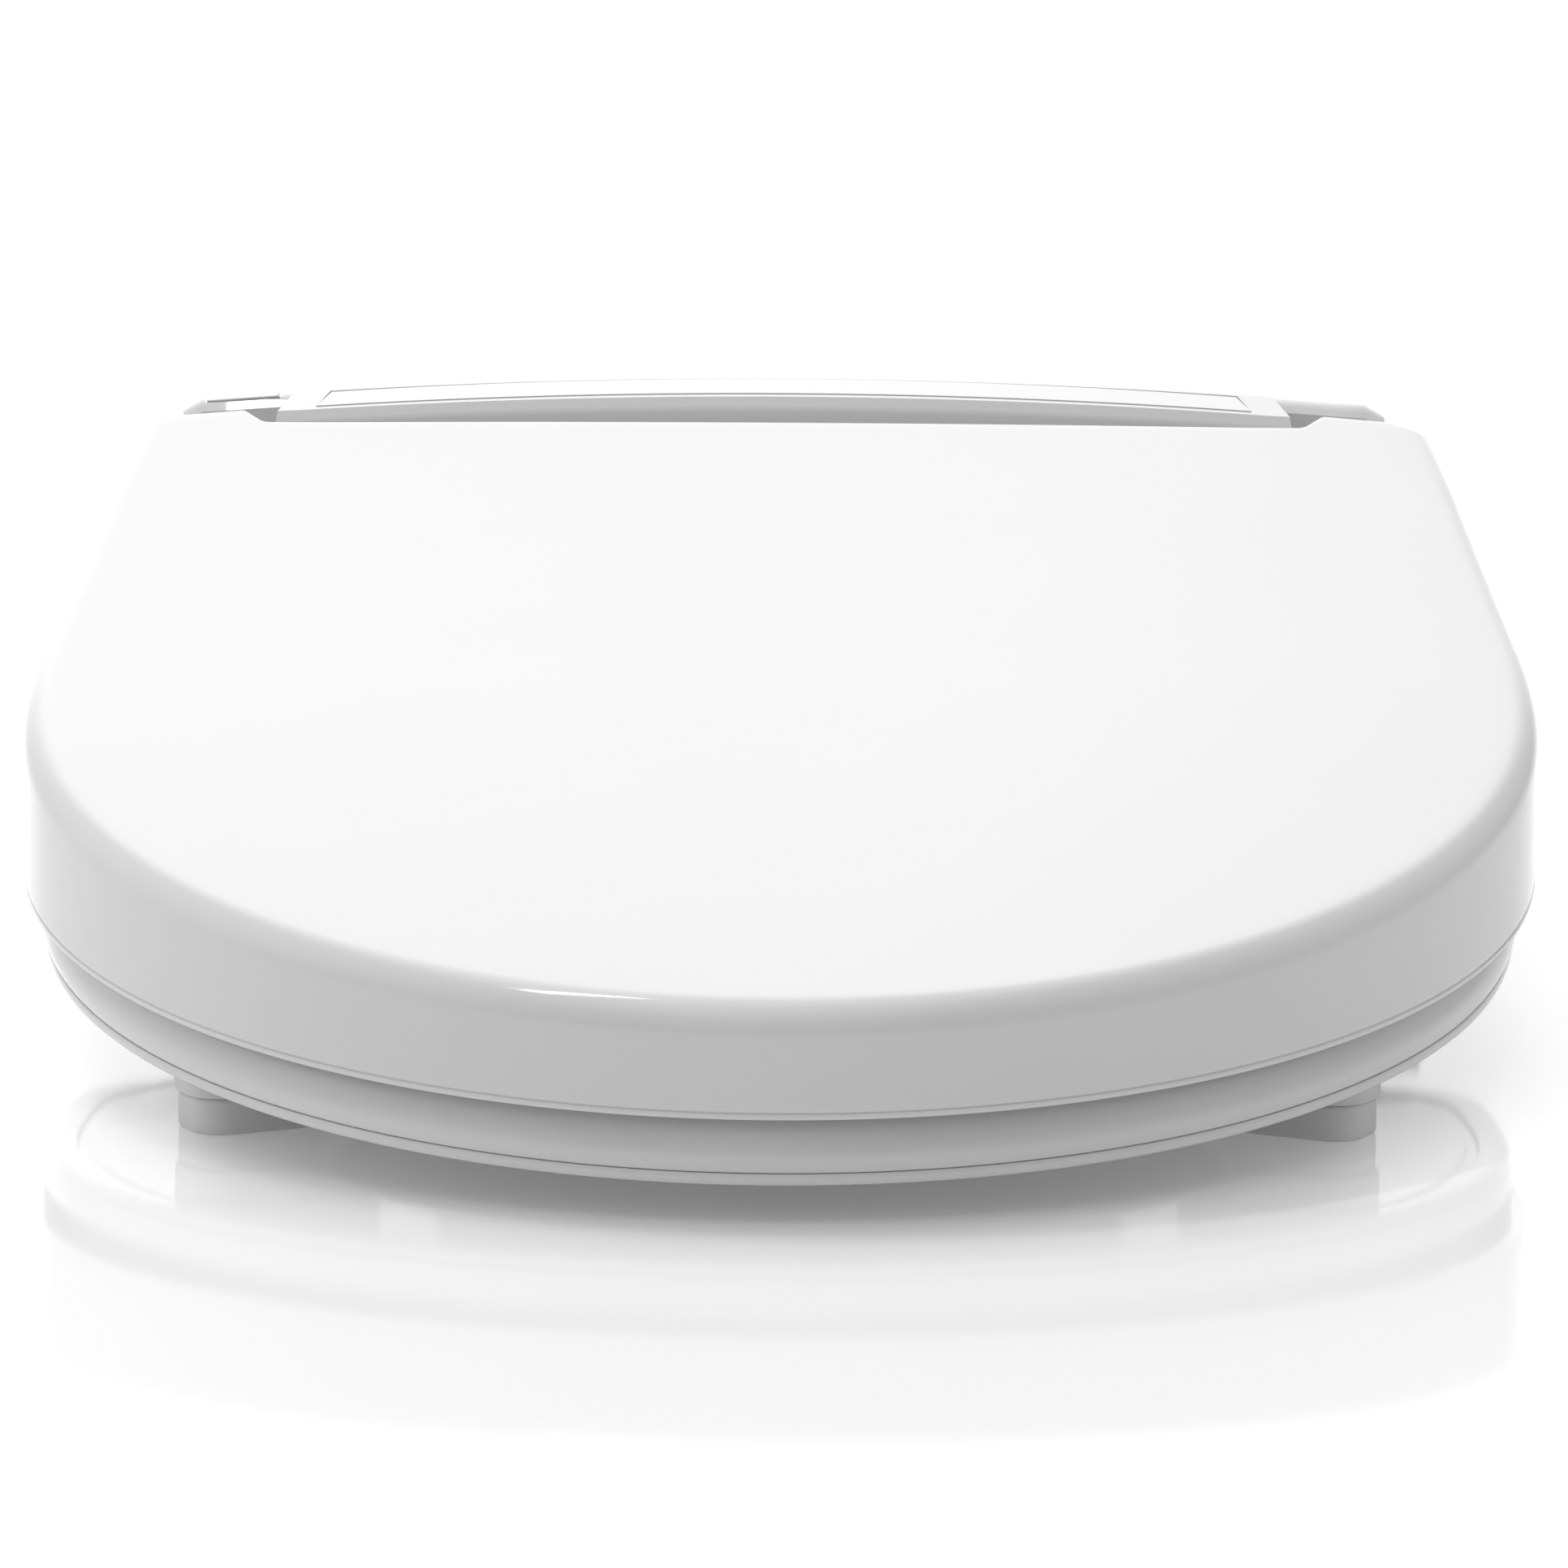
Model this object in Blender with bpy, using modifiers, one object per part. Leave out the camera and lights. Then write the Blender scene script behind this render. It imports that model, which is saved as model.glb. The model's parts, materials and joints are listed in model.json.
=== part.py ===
"""Electric bidet seat, as an assembly of separate named pieces.

The front of the seat is at -Y, the main unit at +Y, and the floor that it rests on at z = 0.
Dimensions below are millimetres; every mesh is made in metres. Run with
blender --background --python part.py, or from Blender's text editor.
"""
import math

import bmesh
import bpy
from mathutils import Matrix, Vector

MM = 0.001
GAP = 0.3                       # clearance between pieces that touch

# Whole object
LENGTH = 528.0
HALF_WIDTH = 193.0
Y_FRONT = -LENGTH / 2
Y_REAR = LENGTH / 2
Y_WIDE = 2.0                    # where the seat is widest
FRONT_REACH = Y_WIDE - Y_FRONT
FRONT_POWER = 2.14              # flattens the front of the outline a little

# Rear half of the outline: a short arc, then a straight taper
TAPER = math.radians(2.84)
TAPER_ARC = 31.0

# Lid
LID_WALL = 2.8
LID_TOP_WIDE = 91.6             # height of the flat top at Y_WIDE
LID_TOP_SLOPE = 0.148
LID_CROWN = 1.6
LID_REAR_RISE = 3.1             # the top curves up by this much towards its rear edge
LID_EDGE_RADIUS = 7.0
LID_HEM_WIDE = 45.5             # height of the lower edge at Y_WIDE
LID_HEM_SLOPE = 0.0745
LID_HEM_RISE_START = 132.0      # the lower edge climbs behind this line
LID_HEM_REAR = 103.0
LID_ARM_REAR = 234.0
LID_NOTCH_REAR = 224.5          # rear edge of the middle, in front of the deck
LID_NOTCH_HALF = 144.0
LID_ARM_INNER = 151.5
LID_REAR_CORNER = 14.0

# Seat ring
RING_INSET = 4.3                # how far it sits inside the lid's outline
RING_BASE_WIDE = 29.2           # height of its underside at Y_WIDE
RING_BASE_SLOPE = 0.077
RING_REAR_REACH = 108.0
RING_REAR_POWER = 5.0
RING_PARTING = 3.0              # height of the groove between the shells
BOWL_CENTRE_Y = -62.0
BOWL_HALF_WIDTH = 112.0
BOWL_HALF_LENGTH = 142.0
RING_STEPS = 64
UPPER_WALL = 2.4
LOWER_WALL = 2.2

# Hinge line shared by the seat and the lid
HINGE_Y = 214.0
HINGE_Z = 110.5
SHAFT_RADIUS = 3.5
BORE_RADIUS = 3.9
DAMPER_RADIUS = 5.8
TOWER_RADIUS = 8.0

# Main unit
UNIT_FRONT = 117.0
UNIT_HALF = 140.0               # half width beside the hinge arms
WING_HALF = 166.0
UNIT_BOTTOM = 6.0
SPLIT_Z = 22.0                  # joint between base tray and top cover
BODY_TOP = 90.0
POD_FRONT = 196.0
POD_TOP = 78.0
DECK_FRONT = 232.5
DECK_Z = 132.6
DECK_SLOPE = 0.136
DECK_CROWN = 0.00025            # fall per square millimetre from the middle
DECK_END_FRONT = 3.2            # the deck's ends stand out from the body in front
DECK_END_REAR = -1.0            # and lie within it at the ears
WING_FRONT = 249.0
WING_SINK = 0.4                 # the ears lie this much inside the deck's surface
WING_TIP = 4.0
WING_TIP_FALL = 3.0
EAR_LEAN = 0.094                # the ears' end walls lean out, per millimetre of height
TIP_LEAN = 0.055                # and so does the start of their tips
DECK_ROUND = 8.0
COVER_WALL = 2.4
BODY_EDGE = 4.0                 # chamfer along the front of the body
DECK_EDGE = 1.5                 # chamfer along the front of the deck and ears
PANEL_HALF = 132.0
PANEL_SLANT = 3.5               # the panel's rear edge is this much shorter at each end
PANEL_FRONT = 237.5
PANEL_REAR = 253.5
PANEL_DEPTH = 1.3
CAP_INNER = 142.6
CAP_OUTER = 164.2
CAP_FRONT = 251.2
CAP_BOTTOM = 114.0
CAP_WALL = 1.4
CAP_GAP = 0.6                   # gap round the cap, wide enough to see

# Wash wands
WAND_TILT = math.radians(15.0)
WAND_X = 13.0
WAND_RADIUS = 6.0
WAND_LENGTH = 114.0
WAND_FRONT = (121.0, 33.0)      # y and z of the tip's centre when parked

# Front bumpers, aligned with the ring's edge
BUMPER_CENTRE = (127.5, -144.6)
BUMPER_TURN = math.radians(26.3)
BUMPER_SIZE = (34.0, 22.0)
BUMPER_PAD_HEIGHT = 9.0

WHITE = (0.86, 0.86, 0.855)
PALE_GREY = (0.62, 0.62, 0.61)
DARK_GREY = (0.08, 0.08, 0.085)
STEEL = (0.62, 0.61, 0.59)
COPPER = (0.72, 0.40, 0.24)
GREEN = (0.03, 0.20, 0.08)


# ---------------------------------------------------------------- helpers

def clear_scene():
    for obj in list(bpy.data.objects):
        bpy.data.objects.remove(obj, do_unlink=True)


def make_collection(name):
    collection = bpy.data.collections.new(name)
    bpy.context.scene.collection.children.link(collection)
    return collection


def finish(obj, colour, roughness=0.35, metallic=0.0):
    """Give a piece its own material."""
    material = bpy.data.materials.new(obj.name + "_finish")
    material.use_nodes = True
    shader = material.node_tree.nodes["Principled BSDF"]
    shader.inputs["Base Color"].default_value = (*colour, 1.0)
    shader.inputs["Roughness"].default_value = roughness
    shader.inputs["Metallic"].default_value = metallic
    obj.data.materials.clear()
    obj.data.materials.append(material)
    return obj


def smooth(obj, angle=35.0):
    obj.data.shade_smooth()
    obj.data.set_sharp_from_angle(angle=math.radians(angle))


def mesh_piece(name, points, faces, collection):
    """A mesh object from points in millimetres, with coincident points joined."""
    mesh = bpy.data.meshes.new(name)
    mesh.from_pydata([[c * MM for c in p] for p in points], [], faces)
    shape = bmesh.new()
    shape.from_mesh(mesh)
    bmesh.ops.remove_doubles(shape, verts=shape.verts, dist=1e-6)
    bmesh.ops.recalc_face_normals(shape, faces=shape.faces)
    shape.to_mesh(mesh)
    shape.free()
    obj = bpy.data.objects.new(name, mesh)
    collection.objects.link(obj)
    return obj


def loft(name, rows, collection, closed_rows=True, end_caps=(False, False), fold=None):
    """Skin a list of point rows of equal length."""
    count = len(rows[0])
    points = [p for row in rows for p in row]
    faces = []
    last = count if closed_rows else count - 1
    for r in range(len(rows) - 1):
        for i in range(last):
            j = (i + 1) % count
            faces.append((r * count + i, r * count + j, (r + 1) * count + j, (r + 1) * count + i))
    for wanted, first in zip(end_caps, (0, (len(rows) - 1) * count)):
        if wanted:
            faces += cap_faces(first, count, fold)
    return mesh_piece(name, points, faces, collection)


def cap_faces(first, count, fold):
    """One face over an end row, or two that meet along a fold between two of its points."""
    if fold is None:
        return [tuple(range(first, first + count))]
    low, high = fold
    upper = range(low, high + 1)
    lower = [*range(low + 1), *range(high, count)]
    return [tuple(first + i for i in upper), tuple(first + i for i in lower)]


def thicken(obj, thickness, offset=-1.0):
    shell = obj.modifiers.new("Wall", 'SOLIDIFY')
    shell.thickness = thickness * MM
    shell.offset = offset
    shell.use_even_offset = True


def box(name, low, high, collection, bevel=0.0, segments=2):
    """A block between two corners, with its edges rounded."""
    bpy.ops.mesh.primitive_cube_add(size=1.0)
    obj = bpy.context.active_object
    obj.name = name
    obj.data.name = name
    centre = [(a + b) / 2 * MM for a, b in zip(low, high)]
    size = [(b - a) * MM for a, b in zip(low, high)]
    obj.data.transform(Matrix.Diagonal((*size, 1.0)))
    obj.location = centre
    move_to(obj, collection)
    if bevel:
        edge = obj.modifiers.new("Edge", 'BEVEL')
        edge.width = bevel * MM
        edge.segments = segments
        edge.limit_method = 'ANGLE'
    return obj


def move_to(obj, collection):
    for owner in list(obj.users_collection):
        owner.objects.unlink(obj)
    collection.objects.link(obj)


AXIS_TURN = {
    'X': Matrix.Rotation(math.radians(90), 4, 'Y'),
    '-X': Matrix.Rotation(math.radians(-90), 4, 'Y'),
    'Z': Matrix.Identity(4),
}


def turned(name, profile, centre, axis, collection, steps=24):
    """Turn (radius, height) points round an axis; the profile runs down its outer side."""
    mesh = bpy.data.meshes.new(name)
    points = [(r * MM, 0.0, h * MM) for r, h in profile]
    edges = [(i, i + 1) for i in range(len(points) - 1)]
    mesh.from_pydata(points, edges, [])
    obj = bpy.data.objects.new(name, mesh)
    collection.objects.link(obj)
    screw = obj.modifiers.new("Turn", 'SCREW')
    screw.steps = steps
    screw.render_steps = steps
    screw.use_merge_vertices = True
    screw.merge_threshold = 0.00001
    screw.use_smooth_shade = False
    turn = AXIS_TURN[axis] if isinstance(axis, str) else axis
    obj.matrix_world = Matrix.Translation(Vector(centre) * MM) @ turn
    return obj


def rod(name, radius, start, end, collection, steps=24, edge=0.5):
    """A solid round bar between two points, with small chamfers."""
    a, b = Vector(start), Vector(end)
    half = (b - a).length / 2
    profile = [(0, half), (radius - edge, half), (radius, half - edge),
               (radius, edge - half), (radius - edge, -half), (0, -half)]
    turn = (b - a).to_track_quat('Z', 'Y').to_matrix().to_4x4()
    return turned(name, profile, (a + b) / 2, turn, collection, steps)


def tube_profile(outer, inner, length, edge=0.4):
    half = length / 2
    return [(inner, half), (outer - edge, half), (outer, half - edge), (outer, edge - half),
            (outer - edge, -half), (inner, -half), (inner, half)]


def tube(name, outer, inner, start, end, collection, steps=24):
    """A round tube open at both ends."""
    a, b = Vector(start), Vector(end)
    turn = (b - a).to_track_quat('Z', 'Y').to_matrix().to_4x4()
    profile = tube_profile(outer, inner, (b - a).length)
    return turned(name, profile, (a + b) / 2, turn, collection, steps)


def side_plate(name, outline, x_low, x_high, collection, holes=()):
    """A flat outline in y and z, extruded along X, with round holes."""
    curve = bpy.data.curves.new(name, 'CURVE')
    curve.dimensions = '2D'
    curve.fill_mode = 'BOTH'
    curve.extrude = (x_high - x_low) / 2 * MM
    for loop in [outline] + [circle(y, z, r, 24) for y, z, r in holes]:
        spline = curve.splines.new('POLY')
        spline.points.add(len(loop) - 1)
        spline.use_cyclic_u = True
        for point, (y, z) in zip(spline.points, loop):
            point.co = (y * MM, z * MM, 0.0, 1.0)
    guide = bpy.data.objects.new(name + "_curve", curve)
    collection.objects.link(guide)
    guide.matrix_world = (Matrix.Translation(((x_low + x_high) / 2 * MM, 0, 0))
                          @ Matrix(((0, 0, 1, 0), (1, 0, 0, 0), (0, 1, 0, 0), (0, 0, 0, 1))))
    return curve_to_mesh(guide, name, collection)


def curve_to_mesh(guide, name, collection):
    """Replace a curve object by the welded mesh of the same shape."""
    bpy.context.view_layer.update()
    graph = bpy.context.evaluated_depsgraph_get()
    mesh = bpy.data.meshes.new_from_object(guide.evaluated_get(graph))
    shape = bmesh.new()
    shape.from_mesh(mesh)
    bmesh.ops.remove_doubles(shape, verts=shape.verts, dist=1e-6)
    shape.to_mesh(mesh)
    shape.free()
    obj = bpy.data.objects.new(name, mesh)
    obj.matrix_world = guide.matrix_world.copy()
    collection.objects.link(obj)
    bpy.data.objects.remove(guide, do_unlink=True)
    obj.name = name
    return obj


def circle(cy, cz, radius, count, start=0.0, sweep=360.0):
    """Points on a circle or an arc, in degrees anticlockwise."""
    closed = abs(sweep) >= 360.0
    steps = count if closed else count - 1
    return [(cy + radius * math.cos(math.radians(start + sweep * i / steps)),
             cz + radius * math.sin(math.radians(start + sweep * i / steps)))
            for i in range(count)]


def combine(obj, tool, operation):
    cut = obj.modifiers.new(operation.title(), 'BOOLEAN')
    cut.operation = operation
    cut.solver = 'EXACT'
    cut.object = tool
    tool.hide_render = True
    tool.display_type = 'WIRE'


def cut_box(obj, low, high, cutters):
    combine(obj, box(obj.name + "_opening", low, high, cutters), 'DIFFERENCE')


def joint_empty(name, location, pieces, collection):
    """Hang pieces from an empty on their joint's axis, without moving them."""
    pivot = bpy.data.objects.new(name, None)
    pivot.empty_display_size = 0.02
    pivot.location = Vector(location) * MM
    collection.objects.link(pivot)
    bpy.context.view_layer.update()
    for piece in pieces:
        piece.parent = pivot
        piece.matrix_parent_inverse = pivot.matrix_world.inverted()
    return pivot


# ---------------------------------------------------------------- outlines

def side_half_width(y, inset):
    """Half width of the lid's outline behind its widest line."""
    radius = TAPER_ARC / math.sin(TAPER)
    back = y - Y_WIDE
    if back < TAPER_ARC:
        return HALF_WIDTH - inset - (radius - math.sqrt(radius * radius - back * back))
    arc_drop = radius * (1 - math.cos(TAPER))
    return HALF_WIDTH - inset - arc_drop - (back - TAPER_ARC) * math.tan(TAPER)


def front_point(inset, turn):
    """Point on the front half of the outline; turn runs 0 at the tip to 1 at the side."""
    angle = turn * math.pi / 2
    reach = (FRONT_REACH - inset) * max(math.cos(angle), 0.0) ** (2 / FRONT_POWER)
    return ((HALF_WIDTH - inset) * math.sin(angle), Y_WIDE - reach)


def lid_half_outline():
    """Right half of the lid's outline, from the front tip to the middle of the rear edge."""
    points = [front_point(0.0, i / 18) for i in range(19)]
    corner_y = LID_ARM_REAR - LID_REAR_CORNER
    corner_x = side_half_width(corner_y, 0.0) - LID_REAR_CORNER
    for i in range(1, 10):
        y = Y_WIDE + (corner_y - Y_WIDE) * i / 9
        points.append((side_half_width(y, 0.0), y))
    points += [(corner_x + x, corner_y + y)
               for x, y in circle(0, 0, LID_REAR_CORNER, 5, 0.0, 90.0)[1:]]
    points += [(LID_ARM_INNER, LID_ARM_REAR), (LID_NOTCH_HALF, LID_NOTCH_REAR)]
    points += [(LID_NOTCH_HALF * (1 - i / 4), LID_NOTCH_REAR) for i in range(1, 5)]
    return points


def mirrored(points):
    """Close a right half, which starts and ends on the middle line, into a full loop."""
    return points + [(-x, y) for x, y in reversed(points[1:-1])]


def lid_top(x, y):
    across = min(abs(x) / HALF_WIDTH, 1.0)
    back = max(y - Y_WIDE, 0.0) / (LID_NOTCH_REAR - Y_WIDE)
    return (LID_TOP_WIDE + LID_TOP_SLOPE * (y - Y_WIDE) - LID_CROWN * across ** 2
            + LID_REAR_RISE * back ** 2)


def lid_hem(y):
    """Height of the lid's lower edge, which climbs clear of the hinge at the rear."""
    straight = LID_HEM_WIDE + LID_HEM_SLOPE * (y - Y_WIDE)
    if y <= LID_HEM_RISE_START:
        return straight
    part = min((y - LID_HEM_RISE_START) / (LID_ARM_REAR - 20 - LID_HEM_RISE_START), 1.0)
    ease = part * part * (3 - 2 * part)
    return straight + (LID_HEM_REAR - straight) * ease


def ring_outer(turn):
    """Outer edge of the ring; turn runs 0 at the front tip, 1 at the side, 2 at the rear."""
    if turn <= 1.0:
        return front_point(RING_INSET, turn)
    angle = (turn - 1.0) * math.pi / 2
    power = 2 / RING_REAR_POWER
    half_width = HALF_WIDTH - RING_INSET
    return (half_width * max(math.cos(angle), 0.0) ** power,
            Y_WIDE + RING_REAR_REACH * math.sin(angle) ** power)


def bowl_edge(turn):
    """Edge of the opening, at the same turn as ring_outer."""
    angle = turn * math.pi / 2
    return (BOWL_HALF_WIDTH * math.sin(angle), BOWL_CENTRE_Y - BOWL_HALF_LENGTH * math.cos(angle))


def ring_base(y):
    return RING_BASE_WIDE + RING_BASE_SLOPE * (y - Y_WIDE)


def ring_row(across, height):
    """One closed row of ring points, across 0 at the outer edge to 1 at the opening."""
    half = []
    for i in range(RING_STEPS // 2 + 1):
        turn = 2.0 * i / (RING_STEPS // 2)
        ox, oy = ring_outer(turn)
        ix, iy = bowl_edge(turn)
        half.append((ox + (ix - ox) * across, oy + (iy - oy) * across))
    return [(x, y, ring_base(y) + height) for x, y in mirrored(half)]


def deck_height(x, y):
    """Top of the deck and ears: a gentle slope with a crown, and a chamfer at the ear tips."""
    tip_fall = WING_TIP_FALL if abs(x) >= WING_HALF else 0.0
    return DECK_Z + DECK_SLOPE * (y - DECK_FRONT) - DECK_CROWN * x * x - tip_fall


# ---------------------------------------------------------------- lid

def lid_lower_edge(x, y):
    """Height of the lid's rim, which is only a short lip where it meets the deck."""
    lip = lid_top(x, y) - LID_EDGE_RADIUS - 0.5
    beside_deck = abs(x) <= LID_NOTCH_HALF and y >= LID_NOTCH_REAR
    return lip if beside_deck else min(lid_hem(y), lip)


def lid_shell(parts):
    outline = mirrored(lid_half_outline())
    rows = [[(x, y, lid_lower_edge(x, y)) for x, y in outline]]
    for degrees in (0.0, 30.0, 60.0, 90.0):
        inset = LID_EDGE_RADIUS * (1 - math.cos(math.radians(degrees)))
        drop = LID_EDGE_RADIUS * (1 - math.sin(math.radians(degrees)))
        rows.append([(x, y, lid_top(x, y) - drop) for x, y in shrunk(outline, inset)])
    for scale in (0.8, 0.55, 0.28, 0.0):
        rows.append([(x * scale, y * scale, lid_top(x * scale, y * scale))
                     for x, y in shrunk(outline, LID_EDGE_RADIUS)])
    shell = loft("lid_shell", rows, parts)
    thicken(shell, LID_WALL)
    smooth(shell)
    return finish(shell, WHITE, 0.1)


def shrunk(outline, inset):
    """Move each point of a closed outline inwards along its bisector."""
    result = []
    count = len(outline)
    for i, (x, y) in enumerate(outline):
        before = Vector(outline[i - 1])
        after = Vector(outline[(i + 1) % count])
        here = Vector((x, y))
        first = (here - before).normalized()
        second = (after - here).normalized()
        normal_a = Vector((-first.y, first.x))
        normal_b = Vector((-second.y, second.x))
        bisector = (normal_a + normal_b).normalized()
        reach = inset / max(bisector.dot(normal_a), 0.5)
        result.append((x + bisector.x * reach, y + bisector.y * reach))
    return result


def lid_arm(side, parts):
    """Knuckle under the lid's rear corner, round the hinge shaft."""
    under = LID_WALL + 1.2
    top = [(y, lid_top(165.0, y) - under) for y in (198.0, 212.0, 226.0)]
    outline = [(224.0, HINGE_Z)] + list(reversed(top))
    outline += circle(HINGE_Y, HINGE_Z, 10.0, 13, 180.0, 180.0)[:-1]
    low, high = sorted((side * 160.0, side * 170.0))
    arm = side_plate("lid_arm_" + side_name(side), outline, low, high, parts,
                     [(HINGE_Y, HINGE_Z, BORE_RADIUS)])
    return finish(arm, WHITE)


def side_name(side):
    return "right" if side > 0 else "left"


def lid_bumper(side, parts):
    """Small rubber stop between the lid and the ring."""
    x, y = side * 120.0, -110.0
    low = ring_base(y) + 31.0 + GAP
    high = lid_top(x, y) - LID_WALL - 1.2
    bumper = rod("lid_bumper_" + side_name(side), 6.0, (x, y, low), (x, y, high), parts, 16)
    return finish(bumper, PALE_GREY, 0.7)


# ---------------------------------------------------------------- seat ring

UPPER_SECTION = ((0.0, RING_PARTING + GAP), (0.0, 16.5), (0.02, 21.5), (0.08, 26.0),
                 (0.20, 29.2), (0.42, 30.4), (0.66, 28.8), (0.86, 24.8), (0.96, 19.5),
                 (1.0, 13.0), (1.0, RING_PARTING + GAP))


def ring_upper_shell(parts, cutters):
    rows = [ring_row(across, height) for across, height in UPPER_SECTION]
    shell = loft("ring_upper_shell", rows, parts)
    thicken(shell, UPPER_WALL)
    smooth(shell)
    for side in (-1, 1):
        low, high = sorted((side * 147.8, side * 158.2))
        cut_box(shell, (low, 85.0, 45.4), (high, 125.0, 61.2), cutters)
    return finish(shell, WHITE, 0.12)


def ring_lower_shell(parts):
    section = ((0.0, RING_PARTING), (0.0, 1.5), (0.025, 0.0), (0.975, 0.0),
               (1.0, 1.5), (1.0, RING_PARTING))
    rows = [ring_row(across, height) for across, height in section]
    shell = loft("ring_lower_shell", rows, parts)
    thicken(shell, LOWER_WALL)
    smooth(shell)
    return finish(shell, WHITE, 0.2)


def seat_heater(parts):
    """Thin heating sheet just under the sitting surface."""
    drop = UPPER_WALL + 1.6
    section = [(a, h - drop) for a, h in UPPER_SECTION[4:7]]
    sheet = loft("seat_heater", [ring_row(a, h) for a, h in section], parts)
    thicken(sheet, 0.6, 0.0)
    return finish(sheet, COPPER, 0.4, 0.6)


def seat_bracket(side, parts):
    """Arm from the ring's hollow back to the hinge."""
    knuckle = circle(HINGE_Y, HINGE_Z, TOWER_RADIUS - 0.2, 13, -60.0, 180.0)
    outline = knuckle + [(150.0, 78.0), (112.0, 60.0), (90.0, 60.0), (90.0, 46.6), (118.0, 47.0),
                         (196.0, 97.5)]
    low, high = sorted((side * 148.5, side * 157.5))
    arm = side_plate("seat_bracket_" + side_name(side), outline, low, high, parts,
                     [(HINGE_Y, HINGE_Z, BORE_RADIUS)])
    return finish(arm, WHITE)


def rounded_rectangle(width, length, radius, count=4):
    points = []
    for quarter, (sx, sy) in enumerate(((1, 1), (-1, 1), (-1, -1), (1, -1))):
        cx, cy = sx * (width / 2 - radius), sy * (length / 2 - radius)
        points += [(cx + x, cy + y) for x, y in circle(0, 0, radius, count, 90.0 * quarter, 90.0)]
    return points


def bumper_rows(side, grow, levels):
    """Rows of a rounded rectangle lying along the ring's edge; a level is (inset, z)."""
    rows = []
    for inset, level in levels:
        width, length = BUMPER_SIZE
        row = []
        for px, py in rounded_rectangle(width + 2 * (grow - inset), length + 2 * (grow - inset),
                                        8.0 + grow - inset):
            x = BUMPER_CENTRE[0] + px * math.cos(BUMPER_TURN) + py * math.sin(BUMPER_TURN)
            y = BUMPER_CENTRE[1] - px * math.sin(BUMPER_TURN) + py * math.cos(BUMPER_TURN)
            z = level if level is not None else ring_base(y) - GAP
            row.append((side * x, y, z))
        rows.append(row)
    return rows


def front_bumper(side, parts):
    """Moulded mount under the ring with a softer pad under it."""
    split = BUMPER_PAD_HEIGHT
    pad = loft("bumper_pad_" + side_name(side),
               bumper_rows(side, 0.0, ((1.2, 0.0), (0.0, 1.2), (0.0, split - GAP))),
               parts, end_caps=(True, True))
    mount = loft("bumper_mount_" + side_name(side),
                 bumper_rows(side, 1.0, ((0.0, split), (0.0, None))),
                 parts, end_caps=(True, True))
    return finish(pad, WHITE, 0.5), finish(mount, WHITE, 0.25)


# ---------------------------------------------------------------- main unit

def rear_rounding(x, sunk, steps):
    """Quarter round at the top of the rear wall, in y and z."""
    round_y = Y_REAR - DECK_ROUND
    round_z = deck_height(x, round_y) - DECK_ROUND
    return circle(round_y, round_z, DECK_ROUND - sunk, steps, 90.0, -90.0)


def deck_end_shift(y, z):
    """The deck's end walls close in from its front edge towards the ears."""
    if z <= BODY_TOP:
        return 0.0
    back = min(max((y - DECK_FRONT) / (WING_FRONT - DECK_FRONT), 0.0), 1.0)
    return DECK_END_FRONT + (DECK_END_REAR - DECK_END_FRONT) * back


def cover_profile(x, wing):
    """Side profile of the top cover at one station, from its front foot to its rear foot."""
    front, foot, body_top, sunk = DECK_FRONT, UNIT_FRONT, BODY_TOP, 0.0
    if wing:
        front, foot, body_top, sunk = WING_FRONT, POD_FRONT, POD_TOP, WING_SINK
    edge = deck_height(x, front) - sunk
    profile = [(foot, SPLIT_Z), (foot, body_top - BODY_EDGE), (foot + BODY_EDGE, body_top),
               (front, body_top), (front, edge - DECK_EDGE), (front + DECK_EDGE, edge)]
    profile += rear_rounding(x, sunk, 5)
    profile += [(Y_REAR - sunk, POD_TOP), (Y_REAR - sunk, SPLIT_Z)]
    return [(x + math.copysign(end_wall_shift(x, y, z), x), y, z) for y, z in profile]


def end_wall_shift(x, y, z):
    """How far an end wall of the deck or of an ear stands out from its station."""
    if abs(x) == UNIT_HALF:
        return deck_end_shift(y, z)
    lean = {WING_HALF: EAR_LEAN, WING_HALF - WING_TIP: TIP_LEAN}.get(abs(x), 0.0)
    return lean * max(z - POD_TOP, 0.0)


def cover_stations():
    """Stations along X; the repeated ones make the upright end walls of the deck."""
    middle = [(UNIT_HALF * i / 6, False) for i in range(-6, 7)]
    ear = [(UNIT_HALF, True), (WING_HALF - WING_TIP, True), (WING_HALF, True)]
    return [(-x, wing) for x, wing in reversed(ear)] + middle + ear


def top_cover(parts, cutters):
    rows = [cover_profile(station, wing) for station, wing in cover_stations()]
    ear_fold = (3, len(rows[0]) - 2)
    cover = loft("top_cover", rows, parts, closed_rows=False, end_caps=(True, True), fold=ear_fold)
    thicken(cover, COVER_WALL)
    smooth(cover)
    combine(cover, panel_block("panel_recess", 0.0, PANEL_DEPTH, 5.0, cutters), 'DIFFERENCE')
    cut_box(cover, (-CAP_OUTER, CAP_FRONT, CAP_BOTTOM), (-CAP_INNER, 270.0, 140.0), cutters)
    cut_box(cover, (-24.0, 105.0, 20.0), (24.0, 128.0, 47.0), cutters)
    cut_box(cover, (53.0, 105.0, 23.5), (85.0, 128.0, 39.5), cutters)
    cut_box(cover, (125.0, 135.4, 26.4), (150.0, 174.6, 43.6), cutters)
    cut_box(cover, (158.0, 237.4, 27.4), (172.0, 256.6, 42.6), cutters)
    hole = rod("inlet_hole", 8.3, (150.0, 225.0, 48.0), (180.0, 225.0, 48.0), cutters)
    combine(cover, hole, 'DIFFERENCE')
    return finish(cover, WHITE, 0.15)


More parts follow.
